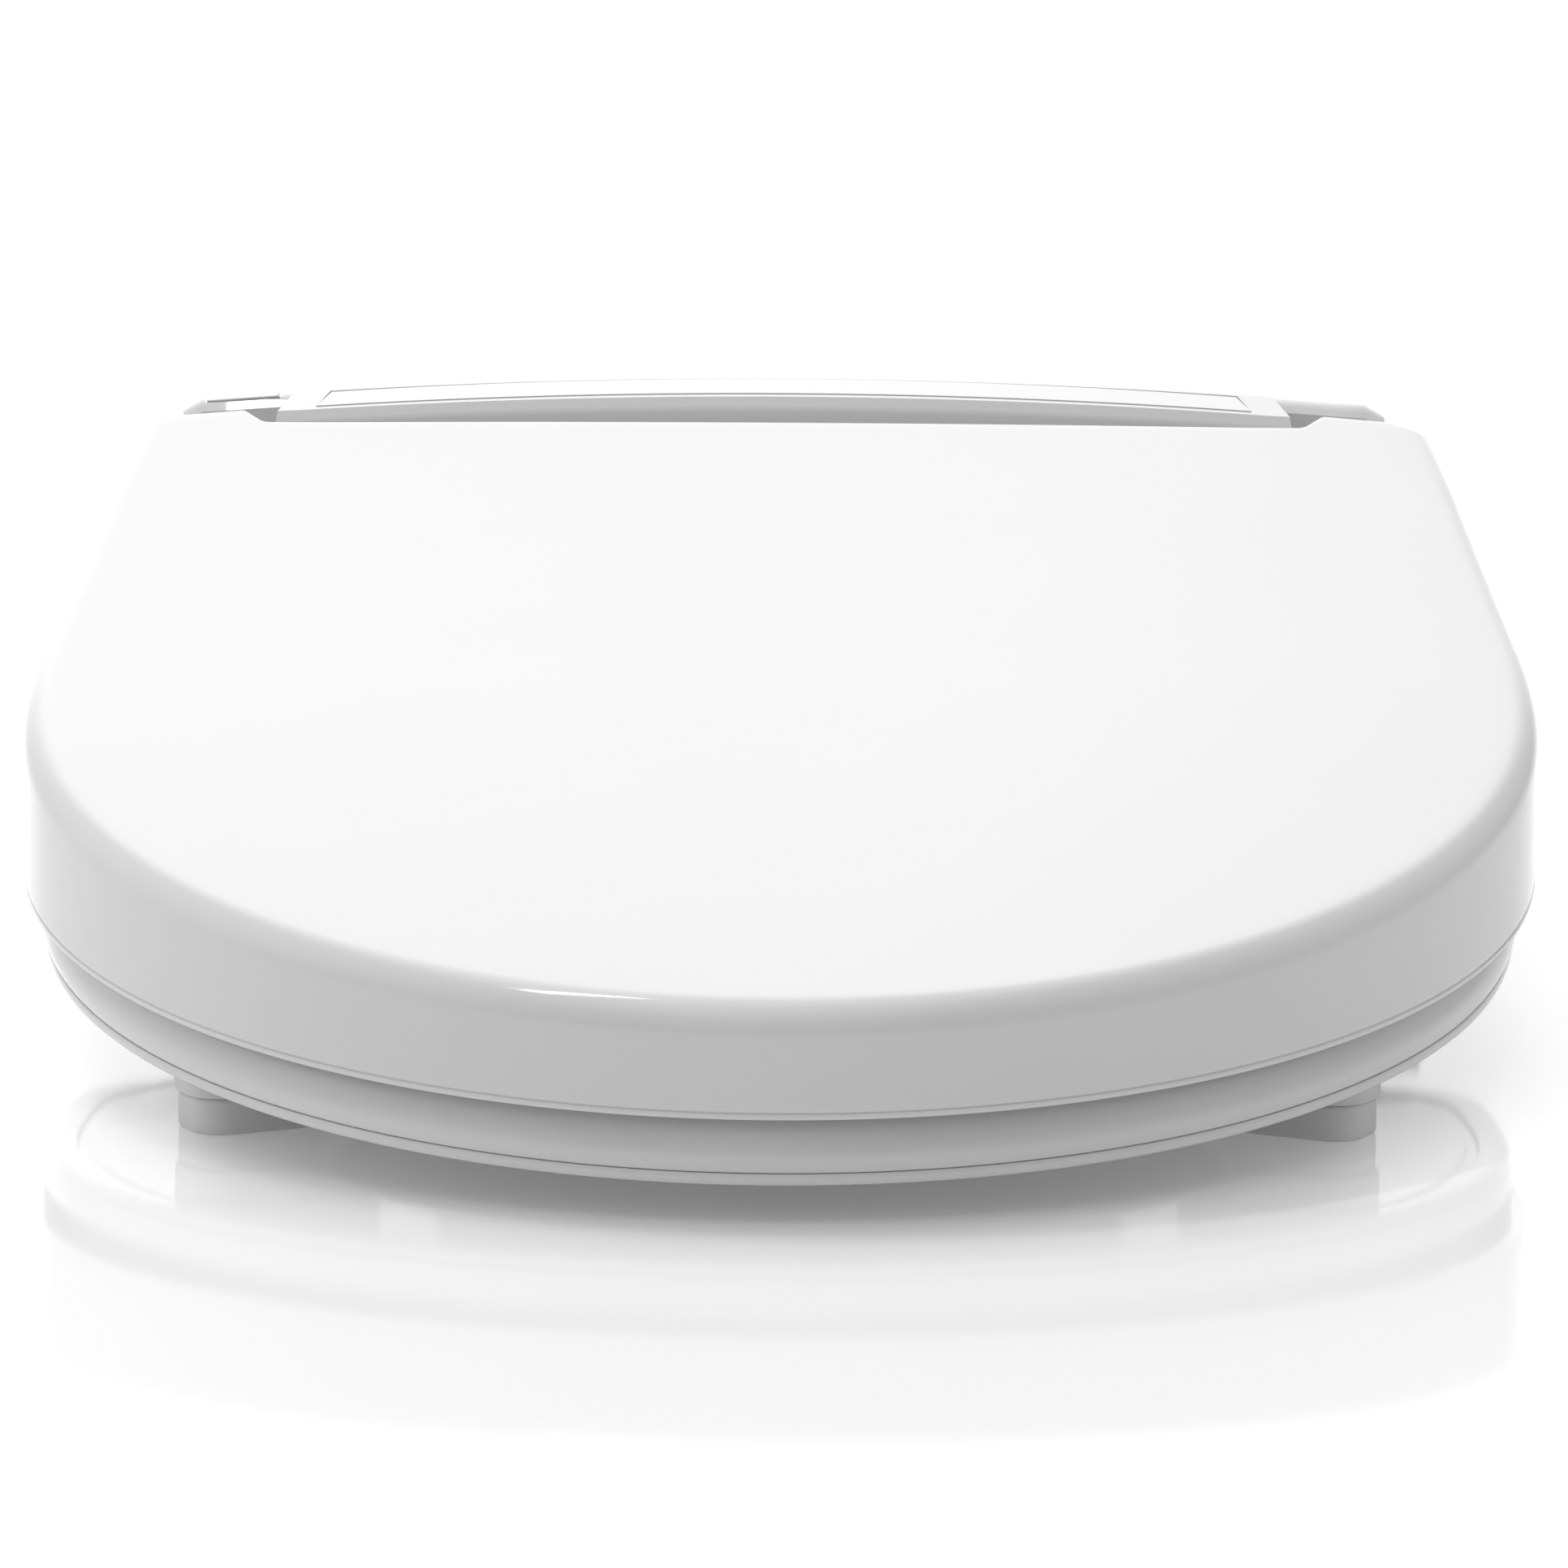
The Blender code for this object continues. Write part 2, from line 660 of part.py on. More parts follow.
def panel_block(name, inset, depth, proud, collection):
    """Block with the deck's curve, from a depth under its surface to a height above it."""
    front, rear = PANEL_FRONT + inset, PANEL_REAR - inset
    rows = []
    for i in range(-6, 7):
        x = (PANEL_HALF - inset) * i / 6
        rear_x = (PANEL_HALF - PANEL_SLANT - inset) * i / 6
        low, high = (deck_height(x, front) - depth, deck_height(x, front) + proud)
        rise = DECK_SLOPE * (rear - front)
        rows.append([(x, front, low), (rear_x, rear, low + rise), (rear_x, rear, high + rise),
                     (x, front, high)])
    return loft(name, rows, collection, end_caps=(True, True))


def deck_panel(parts):
    """Inlaid panel in the deck's recess."""
    return finish(panel_block("deck_panel", GAP, PANEL_DEPTH - GAP, 0.0, parts), WHITE, 0.12)


def ear_button(parts):
    """Push-button cap wrapped over the rear edge of the left ear."""
    rows = []
    first, last = CAP_INNER + CAP_GAP, CAP_OUTER - CAP_GAP
    for i in range(5):
        x = -(first + (last - first) * i / 4)
        row = [(x, CAP_FRONT + CAP_GAP, deck_height(x, CAP_FRONT + CAP_GAP))]
        row += [(x, y, z) for y, z in rear_rounding(x, 0.0, 5)]
        row.append((x, Y_REAR, CAP_BOTTOM + 2.0))
        rows.append(row)
    button = loft("ear_button", rows, parts, closed_rows=False)
    thicken(button, CAP_WALL)
    smooth(button)
    return finish(button, WHITE, 0.2)


def base_tray(parts):
    """Floor and low walls of the unit."""
    outline = [(UNIT_HALF, UNIT_FRONT), (UNIT_HALF, POD_FRONT), (WING_HALF, POD_FRONT),
               (WING_HALF, Y_REAR), (-WING_HALF, Y_REAR), (-WING_HALF, POD_FRONT),
               (-UNIT_HALF, POD_FRONT), (-UNIT_HALF, UNIT_FRONT)]
    rows = [[(x, y, UNIT_BOTTOM) for x, y in outline],
            [(x, y, SPLIT_Z - GAP) for x, y in outline]]
    tray = loft("base_tray", rows, parts, end_caps=(True, False))
    thicken(tray, COVER_WALL)
    return finish(tray, WHITE, 0.3)


def hinge_tower(side, parts):
    """Post on the unit that holds the damper."""
    outline = [(203.0, BODY_TOP + GAP), (215.0, BODY_TOP + GAP), (215.0, HINGE_Z - 9.0)]
    outline += circle(HINGE_Y, HINGE_Z, TOWER_RADIUS, 15, -75.0, 240.0)
    outline += [(203.0, HINGE_Z - 9.0)]
    low, high = sorted((side * 117.0, side * 139.7))
    tower = side_plate("hinge_tower_" + side_name(side), outline, low, high, parts,
                       [(HINGE_Y, HINGE_Z, DAMPER_RADIUS + GAP)])
    return finish(tower, WHITE)


def damper(side, parts):
    body = tube("soft_close_damper_" + side_name(side), DAMPER_RADIUS, BORE_RADIUS,
                (side * 118.0, HINGE_Y, HINGE_Z), (side * 139.0, HINGE_Y, HINGE_Z), parts)
    return finish(body, PALE_GREY, 0.4)


def hinge_shaft(side, parts):
    shaft = rod("hinge_shaft_" + side_name(side), SHAFT_RADIUS,
                (side * 119.0, HINGE_Y, HINGE_Z), (side * 173.0, HINGE_Y, HINGE_Z), parts)
    return finish(shaft, STEEL, 0.3, 1.0)


def base_foot(x, y, label, parts):
    foot = turned("base_foot_" + label,
                  [(0, UNIT_BOTTOM - GAP), (9.0, UNIT_BOTTOM - GAP), (9.0, 1.0), (8.0, 0.0),
                   (0, 0.0)], (x, y, 0.0), 'Z', parts, 16)
    return finish(foot, DARK_GREY, 0.8)


# ---------------------------------------------------------------- inside the unit

def wand_point(back, lift=0.0):
    """y and z at a distance back from the parked tip along the wand's line, and above it."""
    y = WAND_FRONT[0] + back * math.cos(WAND_TILT) - lift * math.sin(WAND_TILT)
    z = WAND_FRONT[1] + back * math.sin(WAND_TILT) + lift * math.cos(WAND_TILT)
    return y, z


def wash_wand(name, x, parts):
    """Wand body and its removable spray tip."""
    tip_end = wand_point(14.0)
    body_start = wand_point(14.0 + GAP)
    body_end = wand_point(WAND_LENGTH)
    tip = rod(name + "_tip", WAND_RADIUS, (x, *wand_point(0.0)), (x, *tip_end), parts, 20, 1.5)
    body = rod(name, WAND_RADIUS, (x, *body_start), (x, *body_end), parts, 20)
    return finish(body, PALE_GREY, 0.2), finish(tip, WHITE, 0.25)


def pinion(name, x, parts):
    """Toothed wheel above a wand."""
    y, z = wand_point(24.0, WAND_RADIUS + 0.5 + 6.5)
    points = []
    teeth = 14
    for i in range(teeth * 4):
        radius = 6.5 if i % 4 in (0, 1) else 5.2
        angle = 2 * math.pi * i / (teeth * 4)
        points.append((y + radius * math.cos(angle), z + radius * math.sin(angle)))
    wheel = side_plate(name, points, x - 2.5, x + 2.5, parts, [(y, z, 1.3)])
    return finish(wheel, PALE_GREY, 0.5)


def stepper_motor(name, side, parts):
    y, z = wand_point(24.0, WAND_RADIUS + 0.5 + 6.5)
    inner, outer = WAND_X + 2.5 + GAP, WAND_X + 22.0
    profile = [(0, 9.75), (9.0, 9.75), (9.5, 9.25), (9.5, -7.0), (3.0, -7.0), (3.0, -9.2), (0, -9.2)]
    middle = (inner + outer) / 2 + 0.4
    motor = turned(name, profile, (side * middle, y, z), 'X' if side > 0 else '-X', parts, 20)
    return finish(motor, STEEL, 0.35, 0.9)


def wand_cradle(parts):
    """Trough that guides both wands, swept along their line."""
    section = [(-24.0, 3.0), (-24.0, -11.0), (24.0, -11.0), (24.0, 3.0), (21.0, 3.0), (21.0, 0.0)]
    for x in (WAND_X, -WAND_X):
        section += [(x + cx, cz) for cx, cz in circle(0, 0, 6.8, 9, 0.0, -180.0)]
    section += [(-21.0, 0.0), (-21.0, 3.0)]
    rows = []
    for back in (4.0, WAND_LENGTH - 4.0):
        rows.append([(x, *wand_point(back, lift)) for x, lift in section])
    cradle = loft("wand_cradle", rows, parts, end_caps=(True, True))
    return finish(cradle, PALE_GREY, 0.4)


def water_system(parts):
    tank = box("water_tank", (-130.0, 124.0, 10.0), (-48.0, 222.0, 84.0), parts, 5.0, 3)
    finish(tank, PALE_GREY, 0.35)
    heater = turned("tank_heater", [(0, 9.0), (7.0, 9.0), (7.0, 3.0), (14.0, 3.0), (14.0, -6.0),
                                    (0, -6.0)], (-90.0, 228.6, 45.0),
                    Matrix.Rotation(math.radians(-90), 4, 'X'), parts)
    finish(heater, STEEL, 0.3, 1.0)
    pump = box("circulation_pump", (-137.0, 228.0, 10.0), (-108.0, 256.0, 45.0), parts, 2.5)
    finish(pump, DARK_GREY, 0.5)
    valve = box("inlet_valve", (100.0, 206.0, 30.0), (134.0, 244.0, 66.0), parts, 2.5)
    finish(valve, PALE_GREY, 0.4)
    fitting = turned("water_inlet",
                     [(5.5, 181.0), (9.6, 181.0), (10.2, 180.2), (10.2, 168.6), (12.5, 168.6),
                      (12.5, 166.4), (7.6, 166.4), (7.6, 134.4), (0, 134.4), (0, 150.0),
                      (5.5, 150.0), (5.5, 181.0)], (0.0, 225.0, 48.0), 'X', parts)
    finish(fitting, STEEL, 0.25, 1.0)
    plug = turned("drain_plug",
                  [(0, 171.4), (6.0, 171.4), (7.0, 170.6), (7.0, 166.4), (0, 166.4)],
                  (0.0, 206.0, 34.0), '-X', parts, 6)
    finish(plug, WHITE, 0.35)
    return plug


def supply_hose(parts):
    """Water hose along the rear wall from the inlet valve to the pump."""
    route = [(117, 244.6, 40), (117, 248, 39.5), (114, 253, 35), (104, 256, 27), (88, 257, 20),
             (50, 257.5, 16.5), (0, 257.5, 16), (-50, 257.5, 16.5), (-80, 255, 20),
             (-95, 246, 25), (-102, 243.2, 26), (-107.4, 243, 26)]
    curve = bpy.data.curves.new("supply_hose", 'CURVE')
    curve.dimensions = '3D'
    curve.bevel_depth = 3.2 * MM
    curve.bevel_resolution = 2
    curve.use_fill_caps = True
    points = smooth_route([Vector(p) for p in route], 4)
    spline = curve.splines.new('POLY')
    spline.points.add(len(points) - 1)
    for target, point in zip(spline.points, points):
        target.co = (*(point * MM), 1.0)
    hose = bpy.data.objects.new("supply_hose", curve)
    parts.objects.link(hose)
    return finish(hose, PALE_GREY, 0.45)


def smooth_route(points, steps):
    """Catmull-Rom curve through a list of points."""
    ends = [points[0] * 2 - points[1]] + points + [points[-1] * 2 - points[-2]]
    result = []
    for i in range(1, len(ends) - 2):
        a, b, c, d = ends[i - 1:i + 3]
        for k in range(steps):
            t = k / steps
            result.append(0.5 * ((2 * b) + (c - a) * t + (2 * a - 5 * b + 4 * c - d) * t * t
                                 + (3 * b - a - 3 * c + d) * t ** 3))
    result.append(points[-1].copy())
    return result


def electrics(parts):
    supply = box("power_supply", (20.0, 212.0, 12.0), (72.0, 248.0, 46.0), parts, 1.5)
    finish(supply, DARK_GREY, 0.5)
    board = box("control_board", (-70.0, 256.8, 46.0), (70.0, 258.4, 88.0), parts)
    finish(board, GREEN, 0.45)
    gland = turned("power_lead_gland",
                   [(4.0, 176.5), (6.5, 176.5), (8.5, 167.4), (11.0, 167.4), (11.0, 166.4),
                    (4.0, 166.4), (4.0, 176.5)], (0.0, 246.0, 34.0), '-X', parts)
    finish(gland, DARK_GREY, 0.6)


BLOWER_CENTRE = (69.0, 176.0, 46.0)


def dryer(parts, cutters):
    housing = turned("blower_housing",
                     [(31.0, 19.0), (31.0, -19.0), (0, -19.0), (0, -17.0), (29.0, -17.0),
                      (29.0, 19.0), (31.0, 19.0)], BLOWER_CENTRE, 'X', parts, 28)
    finish(housing, DARK_GREY, 0.5)
    impeller = turned("blower_impeller",
                      [(0, 15.0), (5.0, 15.0), (8.0, -8.0), (26.0, -10.0), (26.0, -13.0),
                       (0, -13.0)], BLOWER_CENTRE, 'X', parts, 28)
    finish(impeller, PALE_GREY, 0.5)
    duct = box("dryer_duct", (54.0, 120.5, 24.0), (84.0, 143.0, 39.0), parts)
    bore = box("dryer_duct_bore", (56.0, 110.0, 26.0), (82.0, 150.0, 37.0), cutters)
    combine(duct, bore, 'DIFFERENCE')
    finish(duct, DARK_GREY, 0.5)
    element = box("dryer_heater", (57.0, 124.0, 34.6), (81.0, 140.0, 36.2), parts)
    finish(element, STEEL, 0.4, 0.8)
    flap = box("dryer_flap", (53.5, 114.9, 23.8), (84.5, 116.6, 39.8), parts, 0.5)
    finish(flap, WHITE, 0.2)
    return impeller, flap


FAN_CENTRE = (118.0, 154.0, 54.0)


def deodoriser(parts):
    frame = turned("deodoriser_fan_frame",
                   [(18.5, 6.5), (18.5, -6.5), (0, -6.5), (0, -5.3), (17.0, -5.3),
                    (17.0, 6.5), (18.5, 6.5)], FAN_CENTRE, 'Z', parts)
    finish(frame, DARK_GREY, 0.5)
    rotor = turned("deodoriser_fan_rotor",
                   [(0, 5.5), (6.0, 5.5), (6.0, 3.5), (15.5, 3.5), (15.5, -3.5), (0, -3.5)],
                   FAN_CENTRE, 'Z', parts)
    finish(rotor, DARK_GREY, 0.4)
    cartridge = box("filter_cartridge", (100.0, 136.0, 27.0), (139.4, 174.0, 43.0), parts, 1.0)
    finish(cartridge, DARK_GREY, 0.8)
    front = box("filter_drawer_front", (140.4, 134.0, 25.4), (142.6, 176.0, 44.6), parts, 0.8)
    finish(front, WHITE, 0.2)
    return rotor, cartridge, front


def mounting(parts, cutters):
    """Plate that stays bolted to the bowl, with turning inserts for the bolts."""
    plate = box("mounting_plate", (-96.0, 188.0, 1.0), (96.0, 258.0, 5.4), parts, 0.8)
    inserts = []
    for side in (-1, 1):
        hole = rod("plate_hole", 13.0, (side * 70.0, 222.0, -2.0), (side * 70.0, 222.0, 8.0),
                   cutters)
        combine(plate, hole, 'DIFFERENCE')
        insert = tube("bolt_insert_" + side_name(side), 12.6, 4.3,
                      (side * 70.0, 222.0, 1.0), (side * 70.0, 222.0, 5.4), parts)
        inserts.append(finish(insert, DARK_GREY, 0.4))
    return finish(plate, PALE_GREY, 0.4), inserts


def quick_release(parts):
    button = box("release_button", (161.5, 238.0, 28.0), (170.4, 256.0, 42.0), parts, 1.2)
    finish(button, PALE_GREY, 0.3)
    return button


# ---------------------------------------------------------------- assembly

def build():
    clear_scene()
    parts = make_collection("electric_bidet_seat")
    cutters = make_collection("cutters")

    lid = [lid_shell(parts)]
    seat = [ring_upper_shell(parts, cutters), ring_lower_shell(parts), seat_heater(parts)]
    for side in (-1, 1):
        lid += [lid_arm(side, parts), lid_bumper(side, parts)]
        seat += [seat_bracket(side, parts), *front_bumper(side, parts)]
        hinge_tower(side, parts)
        damper(side, parts)
    seat.append(hinge_shaft(-1, parts))
    lid.append(hinge_shaft(1, parts))

    top_cover(parts, cutters)
    deck_panel(parts)
    base_tray(parts)
    for label, x, y in (("front_left", -118.0, 134.0), ("front_right", 118.0, 134.0),
                        ("rear_left", -140.0, 246.0), ("rear_right", 140.0, 246.0)):
        base_foot(x, y, label, parts)

    wand_cradle(parts)
    wands = {}
    for name, side in (("wash_wand", -1), ("bidet_wand", 1)):
        wands[name] = wash_wand(name, side * WAND_X, parts)
        wheel = pinion(name + "_pinion", side * WAND_X, parts)
        stepper_motor(name + "_motor", side, parts)
        y, z = wand_point(24.0, WAND_RADIUS + 7.0)
        joint_empty(name + "_pinion_axis", (side * WAND_X, y, z), [wheel], parts)
        joint_empty(name + "_axis", (side * WAND_X, *wand_point(0.0)), wands[name], parts)

    plug = water_system(parts)
    supply_hose(parts)
    electrics(parts)
    impeller, flap = dryer(parts, cutters)
    rotor, *drawer = deodoriser(parts)
    plate, inserts = mounting(parts, cutters)
    hinge = (0.0, HINGE_Y, HINGE_Z)
    pivot = joint_empty("seat_axis", hinge, seat, parts)
    lid_pivot = joint_empty("lid_axis", hinge, lid, parts)
    lid_pivot.parent = pivot
    lid_pivot.matrix_parent_inverse = pivot.matrix_world.inverted()
    joint_empty("drain_plug_axis", (-168.0, 206.0, 34.0), [plug], parts)
    joint_empty("impeller_axis", BLOWER_CENTRE, [impeller], parts)
    joint_empty("rotor_axis", FAN_CENTRE, [rotor], parts)
    joint_empty("dryer_flap_axis", (69.0, 115.7, 39.0), [flap], parts)
    joint_empty("filter_drawer_axis", (140.0, 155.0, 35.0), drawer, parts)
    joint_empty("mounting_plate_axis", (0.0, 222.0, 1.0), [plate, *inserts], parts)
    joint_empty("ear_button_axis", (-151.0, 255.0, 124.0), [ear_button(parts)], parts)
    joint_empty("release_button_axis", (168.0, 247.0, 35.0), [quick_release(parts)], parts)


build()
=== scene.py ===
import json
import math

import bmesh
import bpy
from mathutils import Matrix, Quaternion, Vector


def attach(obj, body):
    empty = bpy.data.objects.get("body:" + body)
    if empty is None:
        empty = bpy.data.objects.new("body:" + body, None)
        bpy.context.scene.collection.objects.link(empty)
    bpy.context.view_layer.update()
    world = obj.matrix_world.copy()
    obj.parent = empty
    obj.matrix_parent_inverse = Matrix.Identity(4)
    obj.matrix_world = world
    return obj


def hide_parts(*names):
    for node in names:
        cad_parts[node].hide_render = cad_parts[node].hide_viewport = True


# Looks of the electric bidet seat. Dimensions are millimetres: the front of the seat is at -Y,
# the main unit at +Y and the floor at z = 0. Meshes are made in metres.
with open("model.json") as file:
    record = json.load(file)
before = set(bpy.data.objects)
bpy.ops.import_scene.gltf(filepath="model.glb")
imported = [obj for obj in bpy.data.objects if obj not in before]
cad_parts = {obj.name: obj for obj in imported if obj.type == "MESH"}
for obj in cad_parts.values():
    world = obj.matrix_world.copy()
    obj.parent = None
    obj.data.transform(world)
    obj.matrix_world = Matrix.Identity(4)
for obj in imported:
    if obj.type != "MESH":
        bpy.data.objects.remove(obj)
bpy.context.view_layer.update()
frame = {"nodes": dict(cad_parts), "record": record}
MM = 0.001
SHARP_ANGLE = math.radians(38.0)    # edges that turn by more than this are shaded sharp

# Whole object
LENGTH = 528.0
HALF_WIDTH = 193.0
Y_FRONT = -LENGTH / 2
Y_REAR = LENGTH / 2
Y_WIDE = 2.0                    # where the seat is widest
FRONT_REACH = Y_WIDE - Y_FRONT
FRONT_POWER = 2.14
TAPER = math.radians(2.84)
TAPER_ARC = 31.0

# Lid
LID_WALL = 2.8
LID_TOP_WIDE = 91.6             # height of the flat top at Y_WIDE
LID_TOP_SLOPE = 0.148
LID_CROWN = 1.6
LID_REAR_RISE = 3.1             # the top curves up by this much towards its rear edge
FRONT_EDGE = 7.0                # radius of the rounded top edge at the front and sides
CORNER_EDGE = 8.5               # and at the rear corners
NOTCH_EDGE = 3.6                # and beside the deck
ARM_EDGE = 1.8                  # and at the inner corners of the arms
MIN_INNER_EDGE = 1.0            # least radius of the same edge inside the shell
CORNER_EDGE_FROM = (170.0, 225.0)   # y over which the edge grows to its rear corner radius
NOTCH_EDGE_FROM = (214.0, 223.0)    # y over which it tightens beside the deck
NOTCH_EDGE_ENDS = (158.0, 176.0)    # and the distance from the middle where it stops doing so
ARM_EDGE_FROM = (143.0, 146.5)      # distance from the middle where the arms' corners begin
LID_HEM_WIDE = 45.5             # height of the lower edge at Y_WIDE
LID_HEM_SLOPE = 0.0745
LID_HEM_RISE_START = 132.0
LID_HEM_RISE_END = 214.0
LID_HEM_REAR = 103.0
LID_ARM_REAR = 234.0
LID_NOTCH_REAR = 224.0
LID_ARM_INNER = 151.0
LID_NOTCH_HALF = 145.6
LID_SIDE_START = 8              # the tapering sides are drawn from this y
LID_SIDE_END = 196              # to this
LID_SIDE_STEP = 6
LID_REAR_CORNER = 14.0
LID_ARM_ROUND = 2.6             # radius of the arms' inner corners, seen from above
LID_NOTCH_ROUND = 2.0           # and of the notch's
LID_LIP = 7.5                   # depth of the rim beside the deck
LID_LIP_FROM = (221.0, 224.0)   # y over which the lower edge climbs to that rim
LID_LIP_ENDS = (143.0, 149.0)   # and the distance from the middle where the rim ends
LID_CENTRE_Y = -70.0            # the top's mesh gathers towards this point
LID_RIM_TOP = 3.2               # the rim's shape ends this far above the lower edge
# From inside to outside, as (inset, height above the lower edge), with a fine groove over a lip
LID_RIM = ((LID_WALL, LID_RIM_TOP), (LID_WALL, 0.5), (LID_WALL - 0.4, 0.1), (0.9, 0.0),
           (0.35, 0.12), (0.06, 0.42), (0.0, 0.8), (0.0, 1.2), (0.1, 1.4), (0.35, 1.5),
           (0.38, 1.72), (0.12, 1.95), (0.02, 2.3), (0.0, LID_RIM_TOP))
LID_WALL_SHARES = (0.12, 0.3, 0.5, 0.7, 0.88)
LID_INNER_SCALES = (0.0, 0.15, 0.3, 0.45, 0.6, 0.75, 0.88, 0.96)
LID_OUTER_SCALES = (0.985, 0.96, 0.92, 0.85, 0.75, 0.62, 0.48, 0.34, 0.2, 0.08, 0.0)

# Seat ring
RING_INSET = 4.3
RING_BASE_WIDE = 29.2
RING_BASE_SLOPE = 0.077
RING_PARTING = 3.0
RING_REAR_REACH = 108.0
RING_REAR_POWER = 5.0
BOWL_CENTRE_Y = -62.0
BOWL_HALF_WIDTH = 112.0
BOWL_HALF_LENGTH = 142.0
RING_STEPS = 256
# Sections of the ring, as (share of the way to the opening, depth into the shell, height)
RING_FOOT = RING_PARTING + 0.15
RING_FACE = [(0.0, 2.4, RING_FOOT), (0.0, 1.5, RING_FOOT), (0.0, 1.15, RING_FOOT + 0.1),
             (0.0, 0.9, RING_FOOT + 0.4), (0.0, 0.5, RING_FOOT + 1.3),
             (0.0, 0.18, RING_FOOT + 2.6), (0.0, 0.0, RING_FOOT + 4.2), (0.0, 0.5, 9.5),
             (0.0, 1.6, 12.5), (0.0, 3.0, 15.0)]
RING_CROWN = [(0.0, 3.9, 16.5), (0.02, 3.2, 21.5), (0.08, 0.4, 26.0), (0.20, 0.0, 29.2),
              (0.42, 0.0, 30.4), (0.66, 0.0, 28.8), (0.86, 0.0, 24.8), (0.96, 0.0, 19.5),
              (1.0, 0.0, 13.0)]
RING_CROWN_STEPS = 4
RING_BOWL_WALL = [(1.0, 0.0, 9.0), (1.0, 0.0, RING_FOOT + 1.0), (1.0, 0.3, RING_FOOT + 0.2),
                  (1.0, 1.0, RING_FOOT), (1.0, 2.4, RING_FOOT)]
RING_INSIDE = [(1.0, 2.4, 13.0), (0.95, 0.8, 17.5), (0.85, 0.0, 22.2), (0.66, 0.0, 26.2),
               (0.42, 0.0, 27.8), (0.2, 0.0, 26.6), (0.1, 0.0, 24.0), (0.05, 3.0, 20.0),
               (0.0, 6.4, 16.0), (0.0, 4.6, 13.0), (0.0, 2.8, 9.0)]
RING_UNDERSIDE = [(0.0, 2.2, RING_PARTING), (0.0, 1.4, RING_PARTING),
                  (0.0, 1.1, RING_PARTING - 0.12), (0.0, 0.95, RING_PARTING - 0.4),
                  (0.0, 0.9, RING_PARTING - 0.9), (0.0, 0.95, 1.3), (0.0, 1.2, 0.7),
                  (0.0, 1.8, 0.2), (0.0, 2.8, 0.02), (0.0, 4.2, 0.0), (0.08, 3.2, 0.0),
                  (0.09, 3.2, 0.8), (0.14, 2.0, 0.8), (0.15, 2.0, 0.0), (0.5, 0.0, 0.0),
                  (0.86, 2.0, 0.0), (1.0, 3.0, 0.0), (1.0, 1.6, 0.12), (1.0, 0.6, 0.7),
                  (1.0, 0.1, 1.5), (1.0, 0.0, 2.2), (1.0, 0.05, RING_PARTING - 0.2),
                  (1.0, 0.4, RING_PARTING), (1.0, 2.2, RING_PARTING), (1.0, 2.6, 1.4),
                  (0.5, 0.0, 1.2), (0.0, 2.8, 1.4)]
BRACKET_NOTCH_X = (147.8, 158.2)    # the ring's rear is cut away round the hinge brackets
BRACKET_NOTCH_Y = (85.0, 125.0)
BRACKET_NOTCH_Z = (45.4, 61.2)

# Main unit
UNIT_FRONT = 117.0
UNIT_HALF = 140.0
WING_HALF = 166.0               # the wings carry the thin ears beside the deck
SPLIT_Z = 22.0
BODY_TOP = 90.0
POD_FRONT = 196.0
POD_TOP = 78.0
DECK_FRONT = 232.5
DECK_Z = 132.6
DECK_SLOPE = 0.136
DECK_CROWN = 0.00025
DECK_END_FRONT = 3.2            # the deck's ends stand out from the body in front
DECK_END_REAR = -1.0            # and lie within it at the ears
DECK_ROUND = 8.0
DECK_BACK_FLAT = (254.0, 255.0)     # y of two lines across the deck, before its rear edge rounds
DECK_STATIONS = 28              # sections in each half of the deck
WING_STATIONS = (148.0, 156.0)
WING_FRONT = 249.0
WING_SINK = 0.4
WING_TIP = 4.0
WING_TIP_FALL = 3.0
EAR_LEAN = 0.094                # the ears' end walls lean out, per millimetre of height
TIP_LEAN = 0.055                # and so does the start of their tips
COVER_WALL = 2.4
BODY_EDGE = 5.0
DECK_EDGE = 2.2                 # chamfer along the front of the ears
DECK_CHAMFER = (2.6, 4.0)       # and of the deck
CHAMFER_SHARES = (0.0, 0.42, 0.46, 0.5, 0.54, 0.58, 1.0)
PANEL_HALF = 132.0
PANEL_SLANT = 3.5
PANEL_FRONT = 237.5
PANEL_REAR = 253.5
PANEL_DEPTH = 1.3
PANEL_GAP = 0.25
CAP_INNER = 142.6
CAP_OUTER = 164.2
CAP_FRONT = 251.2
CAP_BOTTOM = 114.0
CAP_WALL = 1.4
CAP_GAP = 0.6
GAP = 0.3
# Openings in the cover's walls, as (name, lowest corner, highest corner)
COVER_OPENINGS = (
    ("cap_opening", (-CAP_OUTER, CAP_FRONT, CAP_BOTTOM), (-CAP_INNER, 270.0, 140.0)),
    ("wand_opening", (-24.0, 105.0, 20.0), (24.0, 128.0, 47.0)),
    ("dryer_opening", (53.0, 105.0, 23.5), (85.0, 128.0, 39.5)),
    ("drawer_opening", (125.0, 135.4, 26.4), (150.0, 174.6, 43.6)),
    ("release_opening", (158.0, 237.4, 27.4), (172.0, 256.6, 42.6)))
INLET_HOLE = [(0, 140.0), (8.3, 140.0), (8.3, 180.0), (0, 180.0)]
INLET_CENTRE = (0.0, 225.0, 48.0)
COVER_EDGE = 0.4
PANEL_EDGE = 0.12
CAP_EDGE = 0.3

# Front bumpers
BUMPER_CENTRE = (127.5, -144.6)
BUMPER_TURN = math.radians(26.3)
BUMPER_SIZE = (34.0, 22.0)
BUMPER_CORNER = 8.0
BUMPER_PAD_HEIGHT = 9.0

